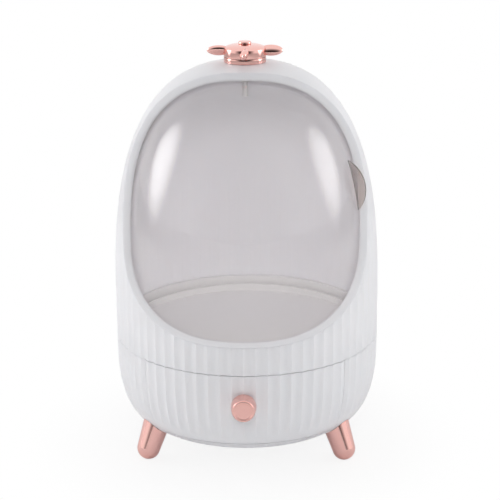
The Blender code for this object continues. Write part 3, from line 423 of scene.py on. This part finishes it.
# %% A material out of the three groups
def finish(name, colour, shade, dull, shiny, bump, grain_scale=1500.0, **sockets):
    """A Principled material whose colour, gloss and surface vary by the groups."""
    made = bpy.data.materials.new(name)
    made.use_nodes = True
    tree = made.node_tree
    shader = tree.nodes["Principled BSDF"]
    tone = add_node(tree, "Group", node_tree=drift)
    tone.inputs["Colour"].default_value = (*colour, 1)
    tone.inputs["Shade Colour"].default_value = (*shade, 1)
    tree.links.new(tone.outputs["Colour"], shader.inputs["Base Color"])
    shine = add_node(tree, "Group", node_tree=gloss)
    shine.inputs["Dull"].default_value = dull
    shine.inputs["Shiny"].default_value = shiny
    tree.links.new(shine.outputs["Roughness"], shader.inputs["Roughness"])
    skin = add_node(tree, "Group", node_tree=grain)
    skin.inputs["Grain Scale"].default_value = grain_scale
    lift = add_node(tree, "Bump", [("Height", skin.outputs["Height"]), ("Strength", bump),
                                   ("Distance", 0.0002)])
    tree.links.new(lift.outputs["Normal"], shader.inputs["Normal"])
    for socket, value in sockets.items():
        shader.inputs[socket.replace("_", " ")].default_value = value
    return made


# %% [markdown]
# ## The plastics and the plating
#
# The outer shell is a cool white with a satin skin, and some light seeps through its thin wall, which
# softens the shade in the flutes. The inside is a slightly warmer white. The plated pieces are plastic
# under a thin bright rose-gold metal, so they are fully metallic with a very low roughness. Screws are
# dull zinc, the spindle is paler steel, and the running pieces are natural nylon.

# %% Opaque finishes
shell_white = finish("shell_white", (0.915, 0.910, 0.955), (0.895, 0.890, 0.940), 0.42, 0.34, 0.12,
                     Subsurface_Weight=0.55, Subsurface_Radius=(1, 0.95, 0.93), Subsurface_Scale=0.004)
room_white = finish("room_white", (0.93, 0.92, 0.915), (0.91, 0.90, 0.895), 0.5, 0.4, 0.12)
rose_plating = finish("rose_plating", (0.94, 0.56, 0.51), (0.90, 0.51, 0.46), 0.12, 0.06, 0.03,
                      Metallic=1.0)
zinc = finish("zinc", (0.60, 0.60, 0.62), (0.52, 0.52, 0.55), 0.38, 0.24, 0.2, Metallic=1.0)
pale_steel = finish("pale_steel", (0.86, 0.85, 0.85), (0.82, 0.81, 0.81), 0.5, 0.4, 0.1, Metallic=0.6)
natural_nylon = finish("natural_nylon", (0.84, 0.83, 0.79), (0.80, 0.79, 0.75), 0.6, 0.45, 0.2)
opaque = (shell_white, room_white, rose_plating, zinc, pale_steel, natural_nylon)
print("opaque finishes:", ", ".join(made.name for made in opaque))


# %% [markdown]
# ## Clear plastic
#
# The door is polished acrylic with a breath of brown, which shows most where one looks along the wall.
# Alpha would fade its shine together with its body, so it is true glass: full transmission, and a
# brown that comes from absorption inside the wall. Glass throws black shadows in a path tracer unless
# light may pass, so for shadow rays the surface turns into a plain see-through sheet.

# %% Clear finish
def clear_finish(name, tint, density, shade):
    """Glass that absorbs by its tint and density, and dims light on its way to other pieces by its shade."""
    made = bpy.data.materials.new(name)
    made.use_nodes = True
    tree = made.node_tree
    shader = tree.nodes["Principled BSDF"]
    shader.inputs["Base Color"].default_value = (1, 1, 1, 1)
    shader.inputs["Transmission Weight"].default_value = 1.0
    shader.inputs["IOR"].default_value = 1.46
    shine = add_node(tree, "Group", node_tree=gloss)
    shine.inputs["Dull"].default_value = 0.03
    shine.inputs["Shiny"].default_value = 0.0
    tree.links.new(shine.outputs["Roughness"], shader.inputs["Roughness"])
    path = add_node(tree, "LightPath")
    through = add_node(tree, "BsdfTransparent", [("Color", (*shade, 1))])
    mixed = add_node(tree, "MixShader", [(0, path.outputs["Is Shadow Ray"]), (1, shader.outputs["BSDF"]),
                                         (2, through.outputs["BSDF"])])
    end = tree.nodes["Material Output"]
    tree.links.new(mixed.outputs[0], end.inputs["Surface"])
    inside = add_node(tree, "VolumeAbsorption", [("Color", (*tint, 1)), ("Density", density)])
    tree.links.new(inside.outputs[0], end.inputs["Volume"])
    return made


smoky_acrylic = clear_finish("smoky_acrylic", (0.86, 0.74, 0.73), 60.0, (1.0, 1.0, 1.0))
brown_acrylic = clear_finish("brown_acrylic", (0.70, 0.62, 0.58), 420.0, (0.85, 0.82, 0.8))
print("clear finishes:", smoky_acrylic.name, brown_acrylic.name)

# %% [markdown]
# ## The fluted cover
#
# On the real object this is one deep injection moulding: an egg with an open bottom, flutes round its
# lower half, a hole in the crown for the spindle and one big opening in front. The full turn is spun
# first, and the opening is cut last with a Boolean, so the ridges stop exactly where the rim begins.

# %% Spin the cover
cover = fluted_wall("fluted_cover", SEAM + HALF_FIT, egg_height(CROWN_BORE), 0, 360, 60)
report(cover)

# %% [markdown]
# The opening's edge is a superellipse as seen from the front, laid onto the egg. It is found once as
# evenly spaced points with two directions each: straight out of the surface, and along the surface
# towards the opening's middle. Every ring of the rim and of the cutter is these points moved along them.

# %% The opening's edge
EDGE_POINTS = 240
OPENING_HALF, OPENING_WIDEST = 0.1177, 0.2327
OPENING_RISE, OPENING_FALL = 0.1483, 0.0931
UPPER_POWER, LOWER_POWER = 2 / 2.39, 2 / 2.92


def nest(points, depth):
    """The points that lie at a depth under the egg's surface, nearest to points in space."""
    nested, out = [], []
    for point in points:
        spread = math.hypot(point[0], point[1] - AXIS_Y)
        near = int(np.argmin(np.hypot(EGG_RADII - spread, EGG_HEIGHTS - point[2])))
        up, side = math.sin(EGG_HEADINGS[near]), math.cos(EGG_HEADINGS[near])
        along = (spread - EGG_RADII[near]) * side + (point[2] - EGG_HEIGHTS[near]) * up
        radius = EGG_RADII[near] + along * side - up * depth
        height = EGG_HEIGHTS[near] + along * up + side * depth
        flat = Vector((point[0] / spread, (point[1] - AXIS_Y) / spread, 0))
        nested.append(Vector((flat.x * radius, AXIS_Y + flat.y * radius, height)))
        out.append(Vector((flat.x * up, flat.y * up, -side)))
    return nested, out


def opening_edge():
    """The edge's evenly spaced points, and at each the direction towards the opening's middle."""
    turn = np.linspace(0, 2 * math.pi, 1200)
    above = np.sin(turn) > 0
    power = np.where(above, UPPER_POWER, LOWER_POWER)
    across = OPENING_HALF * np.sign(np.cos(turn)) * np.abs(np.cos(turn)) ** power
    rise = np.where(above, OPENING_RISE, OPENING_FALL) * np.sign(np.sin(turn))
    height = OPENING_WIDEST + rise * np.abs(np.sin(turn)) ** power
    radius = np.interp(height, EGG_HEIGHTS, EGG_RADII)
    edge = np.stack([across, AXIS_Y - np.sqrt(np.maximum(radius ** 2 - across ** 2, 0)), height], axis=1)
    length = np.concatenate([[0], np.cumsum(np.linalg.norm(np.diff(edge, axis=0), axis=1))])
    even = np.linspace(0, length[-1], EDGE_POINTS, endpoint=False)
    points = [Vector([np.interp(mark, length, edge[:, axis]) for axis in range(3)]) for mark in even]
    _, out = nest(points, 0)
    ways = [straight.cross(points[(place + 1) % EDGE_POINTS] - points[place - 1]).normalized()
            for place, straight in enumerate(out)]
    return points, ways


edge_points, edge_ways = opening_edge()


def edge_ring(name, inward, depth):
    """A drawn ring round the opening, moved towards its middle and under the surface."""
    moved = [point + way * inward for point, way in zip(edge_points, edge_ways)]
    return draw(name, nest(moved, depth)[0], closed=True)


edge_length = sum((here - after).length for here, after in zip(edge_points, edge_points[1:]))
print("the opening's edge runs", round(edge_length, 3), "m")


# %% Cut the opening
def bridge_rings(name, rings, close=False):
    """A skin from ring to ring. The rings are bridged two at a time, so that none is skipped."""
    skin = joined(name, rings)
    count = len(skin.data.vertices) // len(rings)
    pairs = [(place, place + 1) for place in range(len(rings) - 1)]
    if close:
        pairs.append((len(rings) - 1, 0))
    for first, second in pairs:
        open_up(skin, "EDGE")
        shape = bmesh.from_edit_mesh(skin.data)
        shape.verts.index_update()
        choose(skin, "edges", lambda edge: {edge.verts[0].index // count, edge.verts[1].index // count}
               in ({first}, {second}) and edge.verts[0].index // count == edge.verts[1].index // count)
        bpy.ops.mesh.bridge_edge_loops()
        bpy.ops.object.mode_set(mode="OBJECT")
    return skin


def cap_to(piece, tip, wanted):
    """Extrudes an open edge and merges it into one point, which is moved to the tip."""
    open_up(piece, "EDGE")
    choose(piece, "edges", lambda edge: edge.is_boundary and wanted(edge))
    bpy.ops.mesh.extrude_edges_move()
    bpy.ops.mesh.select_mode(type="VERT")
    bpy.ops.mesh.merge(type="CENTER")
    shape = bmesh.from_edit_mesh(piece.data)
    centre = next(corner.co.copy() for corner in shape.verts if corner.select)
    bpy.ops.transform.translate(value=Vector(tip) - centre)
    bpy.ops.object.mode_set(mode="OBJECT")


def cut(piece, tool, way="DIFFERENCE"):
    """Applies an exact Boolean and throws the tool away."""
    take(piece)
    step = piece.modifiers.new("cut", "BOOLEAN")
    step.operation = way
    step.solver = "EXACT"
    step.object = tool
    bpy.ops.object.modifier_apply(modifier="cut")
    bpy.data.objects.remove(tool)


ABOVE_WALL, UNDER_WALL = -0.006, 0.0095
FRONT_TIP, BACK_TIP = -1.05, -0.035
outside = edge_ring("outside", 0, ABOVE_WALL)
inside = edge_ring("inside", 0, UNDER_WALL)
opening_tool = bridge_rings("opening_tool", [outside, inside])
cap_to(opening_tool, (0, FRONT_TIP, OPENING_WIDEST), lambda edge: edge.verts[0].index < EDGE_POINTS)
cap_to(opening_tool, (0, BACK_TIP, OPENING_WIDEST), lambda edge: True)
tidy_skin(opening_tool)
report(opening_tool)
cut(cover, opening_tool)
tidy_skin(cover)
polish(cover, 18)
stand_in(cover, "housing", "white_abs", shell_white, "upper_shell")

# %% [markdown]
# ## The rim of the opening
#
# A separate bevelled ring lines the opening. It catches the light below and lies in shade above, which
# makes the opening look deep. Its section is carried round the edge ring by ring and bridged. The real
# ring's corners are a little rounded, so the section has extra points there instead of hard corners.

# %% Carry the rim's section round the opening
RIM_SECTION = ((0.0003, 0.0004), (0.0004, 0.0001), (0.0008, 0.00005), (0.0014, 0.0005), (0.0036, 0.0040),
               (0.0041, 0.0049), (0.0042, 0.0054), (0.0042, 0.0065), (0.0040, 0.0068), (-0.0080, 0.0068),
               (-0.0080, 0.0040), (0.0003, 0.0040))
rings = [edge_ring(f"ring_{place}", inward, depth) for place, (inward, depth) in enumerate(RIM_SECTION)]
rim = bridge_rings("opening_rim", rings, close=True)
tidy_skin(rim)
polish(rim, 35)
stand_in(rim, "housing", "white_abs", shell_white, "opening_frame")

# %% [markdown]
# ## The fluted base and the drawer's front
#
# Below the seam the same wall goes on. Most of it is the base housing, and the 95 degrees at the front
# are the drawer's face. Both are slices of the same spin, so the ridges run through from piece to piece.
# Their ends lie in the middle of a hollow and are drawn back a hair, which leaves the thin dark joint.

# %% Base housing
def draw_back(piece, degrees, hair):
    """Turns the two upright ends of a slice away from the joints by a hair, in degrees."""
    for side in (-1, 1):
        open_up(piece)
        end = side * degrees
        choose(piece, "verts",
               lambda corner: abs(math.degrees(math.atan2(corner.co.x, AXIS_Y - corner.co.y)) - end) < 0.1)
        bpy.ops.transform.rotate(value=-math.radians(side * hair), orient_axis="Z",
                                 center_override=(0, AXIS_Y, 0))
        bpy.ops.object.mode_set(mode="OBJECT")


HALF_DRAWER = 47.5
HAIR = math.degrees(FIT / BODY_RADIUS)
base = fluted_wall("fluted_base", PLATE_TOP + HALF_FIT, SEAM - HALF_FIT, -HALF_DRAWER,
                   360 - 2 * HALF_DRAWER, 24)
draw_back(base, HALF_DRAWER, HAIR)
polish(base, 18)
stand_in(base, "housing", "white_abs", shell_white, "base_housing")

# %% Drawer's front
DRAWER_GAP = 0.0006
KNOB_HEIGHT, SCREW_BORE = 0.083, 0.0023
drawer_face = fluted_wall("drawer_face", PLATE_TOP + DRAWER_GAP, SEAM - DRAWER_GAP, HALF_DRAWER,
                          2 * HALF_DRAWER, 24)
draw_back(drawer_face, HALF_DRAWER, -HAIR)
let_go()
bpy.ops.mesh.primitive_cylinder_add(vertices=32, radius=SCREW_BORE, depth=0.03, rotation=(math.pi / 2, 0, 0),
                                    location=(0, AXIS_Y - BODY_RADIUS, KNOB_HEIGHT))
hole_tool = bpy.context.object
hole_tool.name = hole_tool.data.name = "hole_tool"
cut(drawer_face, hole_tool)
tidy_skin(drawer_face)
polish(drawer_face, 18)
stand_in(drawer_face, "drawer", "white_abs", shell_white, "drawer_front")

# %% [markdown]
# ## The clear door
#
# The door is a slice of a smaller egg, two millimetres thick, which hangs from an eye on the spindle and
# runs in a ring track at its foot. Glass needs one closed skin with no faces inside. So a full egg is
# spun, and the part behind the door is cut away with one tool that leaves the round eye standing.

# %% Door
DOOR_INSET, DOOR_WALL, DOOR_FOOT = 0.0078, 0.002, 0.1156
HALF_DOOR, EYE_RADIUS = 84.0, 0.016
TOOL_RADIUS, TOOL_FOOT, TOOL_RISE = 0.150, 0.02, 0.4


def plate(name, points, shift):
    """A flat outline that is filled and extruded by the shift."""
    piece = draw(name, points, closed=True)
    open_up(piece, "EDGE")
    bpy.ops.mesh.select_all(action="SELECT")
    bpy.ops.mesh.edge_face_add()
    bpy.ops.mesh.extrude_region_move(TRANSFORM_OT_translate={"value": shift})
    bpy.ops.object.mode_set(mode="OBJECT")
    tidy_skin(piece)
    return piece


def door_sheet(name, inset):
    """A full egg of the door at an inset, open at its foot and at the crown."""
    return spun(name, egg_line(DOOR_FOOT, egg_height(CROWN_BORE, inset), inset, 64), 0, 360, 240)


door = wall("clear_door", door_sheet("door_outer", DOOR_INSET), door_sheet("door_inner", DOOR_INSET + DOOR_WALL),
            (DOOR_FOOT + CROWN) / 2)
back_plan = [on_axis(TOOL_RADIUS, TOOL_FOOT, angle) for angle in np.linspace(HALF_DOOR, 360 - HALF_DOOR, 41)]
eye_plan = [on_axis(EYE_RADIUS, TOOL_FOOT, angle) for angle in np.linspace(360 - HALF_DOOR, HALF_DOOR, 41)]
cut(door, plate("back_tool", back_plan + eye_plan, (0, 0, TOOL_RISE)))
tidy_skin(door)
polish(door, 30)
stand_in(door, "door", "smoky_clear", smoky_acrylic, "door")

# %% [markdown]
# ## The door's pull
#
# A half-moon of the same plastic stands on the door's edge for a finger. Its outline is an arc over a
# chord of the egg's line. It is drawn flat, filled, extruded to its thickness and its rims are bevelled.

# %% Pull
PULL_ANGLE = 67.2
PULL_FOOT, PULL_TOP = 0.249, 0.297
PULL_REACH, PULL_THICK = 0.0125, 0.002
seat = egg_line(PULL_FOOT, PULL_TOP, DOOR_INSET - FIT, 13)
low, high = Vector(seat[0]), Vector(seat[-1])
chord = high - low
away = Vector((chord.y, -chord.x)).normalized()
half = chord.length / 2
bow = (half ** 2 + PULL_REACH ** 2) / (2 * PULL_REACH)
middle = (low + high) / 2 + away * (PULL_REACH - bow)
reach = math.asin(half / bow)
arc = [middle + bow * (away * math.cos(turn) + chord.normalized() * math.sin(turn))
       for turn in np.linspace(reach, -reach, 49)[1:-1]]
outline = [on_axis(point[0], point[1], PULL_ANGLE) for point in [*seat, *arc]]
across = Vector((math.cos(math.radians(PULL_ANGLE)), math.sin(math.radians(PULL_ANGLE)), 0))
pull = plate("door_pull_clear", [point - across * (PULL_THICK / 2) for point in outline], across * PULL_THICK)
take(pull)
soften = pull.modifiers.new("soften", "BEVEL")
soften.width = 0.0004
soften.segments = 2
soften.limit_method = "ANGLE"
soften.angle_limit = math.radians(50)
bpy.ops.object.modifier_apply(modifier="soften")
polish(pull, 40)
stand_in(pull, "door", "pull_clear", brown_acrylic, "door_pull")

# %% [markdown]
# ## Turned and plated pieces
#
# The knob, the propeller's foot, cap and button, and the legs are all turned forms. Each is a drawn
# section spun about its own axis, with small roundings at its corners, because a plated edge always
# shows a bright line. The section may close on itself, as a ring's does, or end on the axis.

# %% Spin a section about any axis
def round_corners(points, radius, closed, steps=3):
    """Replaces each corner of a section by a small curve, as a polishing wheel leaves it."""
    rounded = []
    last = len(points) - 1
    for place, point in enumerate(points):
        if not closed and place in (0, last):
            rounded.append(Vector(point))
            continue
        before, here = Vector(points[place - 1]), Vector(point)
        after = Vector(points[(place + 1) % len(points)])
        back, on = before - here, after - here
        if back.angle(on) > math.radians(160):
            rounded.append(here)
            continue
        reach_in = min(radius, back.length * 0.4, on.length * 0.4)
        start, stop = here + back.normalized() * reach_in, here + on.normalized() * reach_in
        for step in range(steps + 1):
            share = step / steps
            rounded.append(start * (1 - share) ** 2 + here * 2 * share * (1 - share) + stop * share ** 2)
    return rounded


def turned(name, section, base_point, axis, closed, columns=64, softness=0.0004):
    """A section of (distance, step along the axis) pairs, spun once about the axis through base_point."""
    base_point, axis = Vector(base_point), Vector(axis).normalized()
    side = axis.orthogonal().normalized()
    points = [base_point + side * out + axis * along
              for out, along in round_corners(section, softness, closed)]
    piece = draw(name, points, closed)
    open_up(piece)
    bpy.ops.mesh.select_all(action="SELECT")
    bpy.ops.mesh.spin(steps=columns, angle=2 * math.pi, center=base_point, axis=axis)
    bpy.ops.object.mode_set(mode="OBJECT")
    tidy_skin(piece)
    return piece


# %% Knob
BORE_END = 0.009
KNOB = [(0, BORE_END), (SCREW_BORE, BORE_END), (SCREW_BORE, 0.0), (0.0115, 0.0), (0.0121, 0.00225),
        (0.0121, 0.00525), (0.01125, 0.0120), (0.0104, 0.01448), (0.0097, 0.0150), (0.0087, 0.0150),
        (0.0080, 0.01433), (0, 0.01433)]
knob = turned("plated_knob", KNOB, (0, AXIS_Y - BODY_RADIUS - FIT, KNOB_HEIGHT), (0, -1, 0), closed=False)
polish(knob, 30)
stand_in(knob, "drawer", "rose_gold", rose_plating, "drawer_knob")

# %% [markdown]
# ## Legs
#
# Each leg is a short tapered post with a round foot, which leans inwards and is cut to the egg's
# underside. One leg is turned on its leaning axis. A body-shaped tool, a hair larger than the egg, cuts
# its top, and a plane takes the worn flat off its foot. The other three are turned copies of it.

# %% One leg, then its copies
LEG_ANGLE, LEG_TILT, LEG_STAND = 55.0, math.radians(22), 0.118
LEG_FOOT, LEG_ROOT, LEG_LENGTH = 0.0114, 0.0145, 0.045
FOOT_WORN = 0.0007
BODY_TOOL_TOP = 0.11


def leg_section():
    """The round foot and the straight flank of a leg, up to past the egg's underside."""
    turns = np.linspace(0, math.pi / 2, 13)
    foot = [(LEG_FOOT * math.sin(turn), -LEG_FOOT * math.cos(turn)) for turn in turns]
    return [*foot, (LEG_ROOT, LEG_LENGTH), (0, LEG_LENGTH)]


def turned_copy(piece, name, turn):
    """A copy of a piece, turned about the egg's axis by an angle in radians."""
    copy = piece.copy()
    copy.data = piece.data.copy()
    copy.name = copy.data.name = name
    bpy.context.collection.objects.link(copy)
    copy.data.transform(Matrix.Translation((0, AXIS_Y, 0)) @ Matrix.Rotation(turn, 4, "Z")
                        @ Matrix.Translation((0, -AXIS_Y, 0)))
    return copy


foot_spot = on_axis(LEG_STAND, LEG_FOOT - FOOT_WORN, LEG_ANGLE)
inwards = on_axis(0, 0, 0) - on_axis(1, 0, LEG_ANGLE)
leg_axis = Vector((inwards.x * math.sin(LEG_TILT), inwards.y * math.sin(LEG_TILT), math.cos(LEG_TILT)))
leg = turned("plated_leg_front_right", leg_section(), foot_spot, leg_axis, closed=False, softness=0.0001)
body_line = [(0, UNDERSIDE - FIT), *egg_line(UNDERSIDE - FIT, BODY_TOOL_TOP, -FIT, 40), (0, BODY_TOOL_TOP)]
body_tool = turned("body_tool", body_line, (0, AXIS_Y, 0), (0, 0, 1), closed=False, columns=144, softness=0)
cut(leg, body_tool)
open_up(leg)
bpy.ops.mesh.select_all(action="SELECT")
bpy.ops.mesh.bisect(plane_co=(0, 0, 0), plane_no=(0, 0, 1), use_fill=True, clear_inner=True,
                    threshold=0.000001)
bpy.ops.object.mode_set(mode="OBJECT")
tidy_skin(leg)
polish(leg, 35)
report(leg)

legs = {"front_right": leg}
for name, turn in (("rear_right", 180 - 2 * LEG_ANGLE), ("rear_left", 180), ("front_left", -2 * LEG_ANGLE)):
    legs[name] = turned_copy(leg, "plated_leg_" + name, math.radians(turn))
for name, made in legs.items():
    stand_in(made, "housing", "rose_gold", rose_plating, "leg_" + name)

# %% [markdown]
# ## The propeller on the crown
#
# A fixed round foot sits on the crown. Over it a cap with a rounded shoulder spins, and four paddle
# blades grow out of the cap. A small button on the spindle's end keeps the cap on. The blades' tangs and
# the cap's inner side are hidden, so the cap is a closed shell and each blade ends inside its wall.

# %% Foot, cap and button
HUB, HUB_TOP = 0.0203, 0.3894
CAP_FOOT, CAP_INSIDE, CAP_TOP, CAP_WALL = 0.3897, 0.3918, 0.4015, 0.002
SHOULDER_START, SHOULDER_RISE, SHOULDER_POWER = 0.3973, 0.0042, 2 / 1.9
BUTTON = [(0, 0.4044), (0.0054, 0.4044), (0.0062, 0.4036), (0.0062, 0.4018), (CROWN_BORE, 0.4018),
          (CROWN_BORE, 0.4032), (0, 0.4032)]
skirt = egg_line(egg_height(HUB, -FIT), egg_height(CROWN_BORE, -FIT), -FIT, 10)
hub_foot = turned("propeller_foot", [(HUB, HUB_TOP), *skirt, (CROWN_BORE, HUB_TOP)], (0, AXIS_Y, 0), (0, 0, 1),
                  closed=True, softness=0.0003)
polish(hub_foot, 30)
stand_in(hub_foot, "housing", "rose_gold", rose_plating, "propeller_base")


def shoulder(grow, boss):
    """The cap's rounded shoulder from beside the axis out to its upright side."""
    return [(boss + (HUB + grow - boss) * math.sin(turn) ** SHOULDER_POWER,
             SHOULDER_START + (SHOULDER_RISE + grow) * max(math.cos(turn), 0) ** SHOULDER_POWER)
            for turn in np.linspace(0, math.pi / 2, 16)]


cap_section = [(CROWN_BORE, CAP_TOP), *shoulder(0, 0.0062), (HUB, CAP_FOOT), (HUB - CAP_WALL, CAP_FOOT),
               *shoulder(-CAP_WALL, 0.0055)[::-1], (0.0055, CAP_INSIDE), (CROWN_BORE, CAP_INSIDE)]
cap = turned("propeller_cap_plated", cap_section, (0, AXIS_Y, 0), (0, 0, 1), closed=True, softness=0.0003)
polish(cap, 30)
stand_in(cap, "propeller", "rose_gold", rose_plating, "propeller_cap")

button = turned("cap_button_plated", BUTTON, (0, AXIS_Y, 0), (0, 0, 1), closed=False, softness=0.0006)
polish(button, 30)
stand_in(button, "housing", "rose_gold", rose_plating, "cap_button")

# %% [markdown]
# ## Blades
#
# A blade is a small rounded paddle, pitched like a real propeller's. It starts as a sphere with its poles
# along the blade, is flattened to an oval and turned to its pitch, and its inner end is hidden in the cap.
# One blade is shaped, and the others are copies turned by quarter turns.

# %% One blade, then its copies
BLADE_HEIGHT, BLADE_TIP = 0.3954, 0.0365
BLADE_HALF, BLADE_CHORD, BLADE_THICK = 0.0115, 0.0055, 0.0037
BLADE_PITCH = math.radians(60)
blade_middle = BLADE_TIP - BLADE_HALF
let_go()
bpy.ops.mesh.primitive_uv_sphere_add(segments=40, ring_count=28, radius=1, location=(0, 0, 0),
                                     rotation=(0, math.pi / 2, 0))
blade = bpy.context.object
blade.name = blade.data.name = "plated_blade_1"
bpy.ops.object.transform_apply(location=True, rotation=True, scale=True)
open_up(blade)
bpy.ops.mesh.select_all(action="SELECT")
bpy.ops.transform.resize(value=(BLADE_HALF, BLADE_CHORD, BLADE_THICK), center_override=(0, 0, 0))
bpy.ops.transform.rotate(value=-BLADE_PITCH, orient_axis="X", center_override=(0, 0, 0))
bpy.ops.transform.translate(value=(blade_middle, AXIS_Y, BLADE_HEIGHT))
bpy.ops.object.mode_set(mode="OBJECT")
polish(blade, 60)
report(blade)

blades = [blade]
for place in range(1, 4):
    blades.append(turned_copy(blade, f"plated_blade_{place + 1}", math.pi / 2 * place))
for place, made in enumerate(blades):
    stand_in(made, "propeller", "rose_gold", rose_plating, f"blade_{place + 1}")

# %% [markdown]
# ## Finishes for the CAD nodes that stay
#
# The deck, the tray, the runners, the screws and the pivot are shown as the CAD made them. Their meshes
# stay untouched, but a Weld and an Edge Split modifier let their round sides shade smoothly while their
# real edges stay crisp.

# %% Dress the kept nodes
KEPT = {"base_plate": shell_white, "deck": room_white, "drawer_tray": room_white, "door_spacer": natural_nylon,
        "pivot_nut": natural_nylon, "runner_left": natural_nylon, "runner_right": natural_nylon,
        "centre_spindle": pale_steel, "knob_screw": zinc}
KEPT.update({name: zinc for name in nodes if "_screw_" in name})
for name, chosen in KEPT.items():
    node = nodes[name]
    node.data.materials.clear()
    node.data.materials.append(chosen)
    for face in node.data.polygons:
        face.use_smooth = True
    weld = node.modifiers.new("weld", "WELD")
    weld.merge_threshold = 0.00001
    crisp = node.modifiers.new("crisp", "EDGE_SPLIT")
    crisp.split_angle = math.radians(28)
print(len(KEPT), "CAD nodes dressed")

# %% [markdown]
# ## Studio
#
# The organizer stands on a white table before plain white, lit by a tall soft lamp at each side and a
# lamp above the front, which clear and shiny pieces don't reflect. The white is the world as the camera
# sees it, directly or through the clear door, at strength one. For shiny pieces it is dark behind the
# camera, and its diffuse light is weaker, so that the white shell keeps its shading. The table's top is
# plain white too, but for a light shade round the feet, where it takes the shadow.

# %% Table top
let_go()
bpy.ops.mesh.primitive_plane_add(size=8, location=(0, 0, 0))
table = bpy.context.object
table.name = table.data.name = "table_top"
paper = bpy.data.materials.new("table_paper")
paper.use_nodes = True
paper_tree = paper.node_tree
paper_shader = paper_tree.nodes["Principled BSDF"]
paper_shader.inputs["Base Color"].default_value = (0.9, 0.9, 0.9, 1)
paper_shader.inputs["Roughness"].default_value = 0.7
paper_light = add_node(paper_tree, "Emission", [("Color", (1, 1, 1, 1)), ("Strength", 1.0)])
paper_path = add_node(paper_tree, "LightPath")
paper_place = add_node(paper_tree, "TexCoord")
away_share = add_node(paper_tree, "VectorMath", [(0, paper_place.outputs["Object"])], operation="LENGTH")
white_share = add_node(paper_tree, "MapRange", [("Value", away_share.outputs["Value"]), ("From Min", 0.10),
                                                ("From Max", 0.24), ("To Min", 0.86), ("To Max", 1.0)],
                       interpolation_type="SMOOTHSTEP")
seen = add_node(paper_tree, "Math", [(0, paper_path.outputs["Is Camera Ray"]),
                                     (1, white_share.outputs["Result"])], operation="MULTIPLY")
paper_mix = add_node(paper_tree, "MixShader", [(0, seen.outputs[0]), (1, paper_shader.outputs["BSDF"]),
                                               (2, paper_light.outputs[0])])
paper_tree.links.new(paper_mix.outputs[0], paper_tree.nodes["Material Output"].inputs["Surface"])
table.data.materials.append(paper)

# %% World
world = bpy.context.scene.world or bpy.data.worlds.new("studio")
bpy.context.scene.world = world
world.use_nodes = True
sky = world.node_tree
sky_shader = sky.nodes["Background"]
sky_place = add_node(sky, "TexCoord")
sky_split = add_node(sky, "SeparateXYZ", [("Vector", sky_place.outputs["Generated"])])
soft_level = add_node(sky, "MapRange", [("Value", sky_split.outputs["Y"]), ("From Min", -0.9), ("From Max", 0.1),
                                        ("To Min", 0.10), ("To Max", 0.68)])
shiny_level = add_node(sky, "MapRange", [("Value", sky_split.outputs["Y"]), ("From Min", -0.97),
                                         ("From Max", -0.5), ("To Min", 0.04), ("To Max", 1.0)],
                       interpolation_type="SMOOTHSTEP")
sky_path = add_node(sky, "LightPath")
by_shine = add_node(sky, "Mix", [("Factor", sky_path.outputs["Is Glossy Ray"]),
                                 (2, soft_level.outputs["Result"]), (3, shiny_level.outputs["Result"])],
                    data_type="FLOAT")
seen_white = add_node(sky, "Math", [(0, sky_path.outputs["Is Camera Ray"]),
                                    (1, sky_path.outputs["Is Transmission Ray"])], operation="ADD", use_clamp=True)
strength = add_node(sky, "Mix", [("Factor", seen_white.outputs[0]), (2, by_shine.outputs[0]), (3, 1.0)],
                    data_type="FLOAT")
sky_shader.inputs["Color"].default_value = (1, 1, 1, 1)
sky.links.new(strength.outputs[0], sky_shader.inputs["Strength"])

# %% Lamps
LAMPS = (("left_lamp", (-1.3, 0.10, 0.60), 0.95, 1.2, 6.6), ("right_lamp", (1.3, 0.05, 0.60), 0.95, 1.2, 5.2),
         ("front_lamp", (0.0, -1.7, 1.15), 1.2, 1.0, 13.5))
LAMPS_AIM = Vector((0, 0, 0.22))
for name, spot, width, height, power in LAMPS:
    bpy.ops.object.light_add(type="AREA", location=spot)
    lamp = bpy.context.object
    lamp.name = name
    lamp.data.shape = "RECTANGLE"
    lamp.data.size, lamp.data.size_y, lamp.data.energy = width, height, power
    lamp.rotation_euler = (LAMPS_AIM - Vector(spot)).to_track_quat("-Z", "Y").to_euler()
    lamp.data.use_nodes = True
    glow = lamp.data.node_tree
    glow_place = add_node(glow, "TexCoord")
    centred = add_node(glow, "Mapping", [("Vector", glow_place.outputs["UV"]), ("Location", (-1, -1, 0)),
                                         ("Scale", (2, 2, 2))])
    ball = add_node(glow, "TexGradient", [("Vector", centred.outputs[0])], gradient_type="SPHERICAL")
    fade = add_node(glow, "MapRange", [("Value", ball.outputs["Fac"]), ("From Max", 0.7), ("To Max", 2.2)],
                    interpolation_type="SMOOTHSTEP")
    glow.links.new(fade.outputs["Result"], glow.nodes["Emission"].inputs["Strength"])
front_lamp = bpy.data.objects["front_lamp"]
front_lamp.visible_glossy = front_lamp.visible_transmission = False
print(len(LAMPS), "lamps")
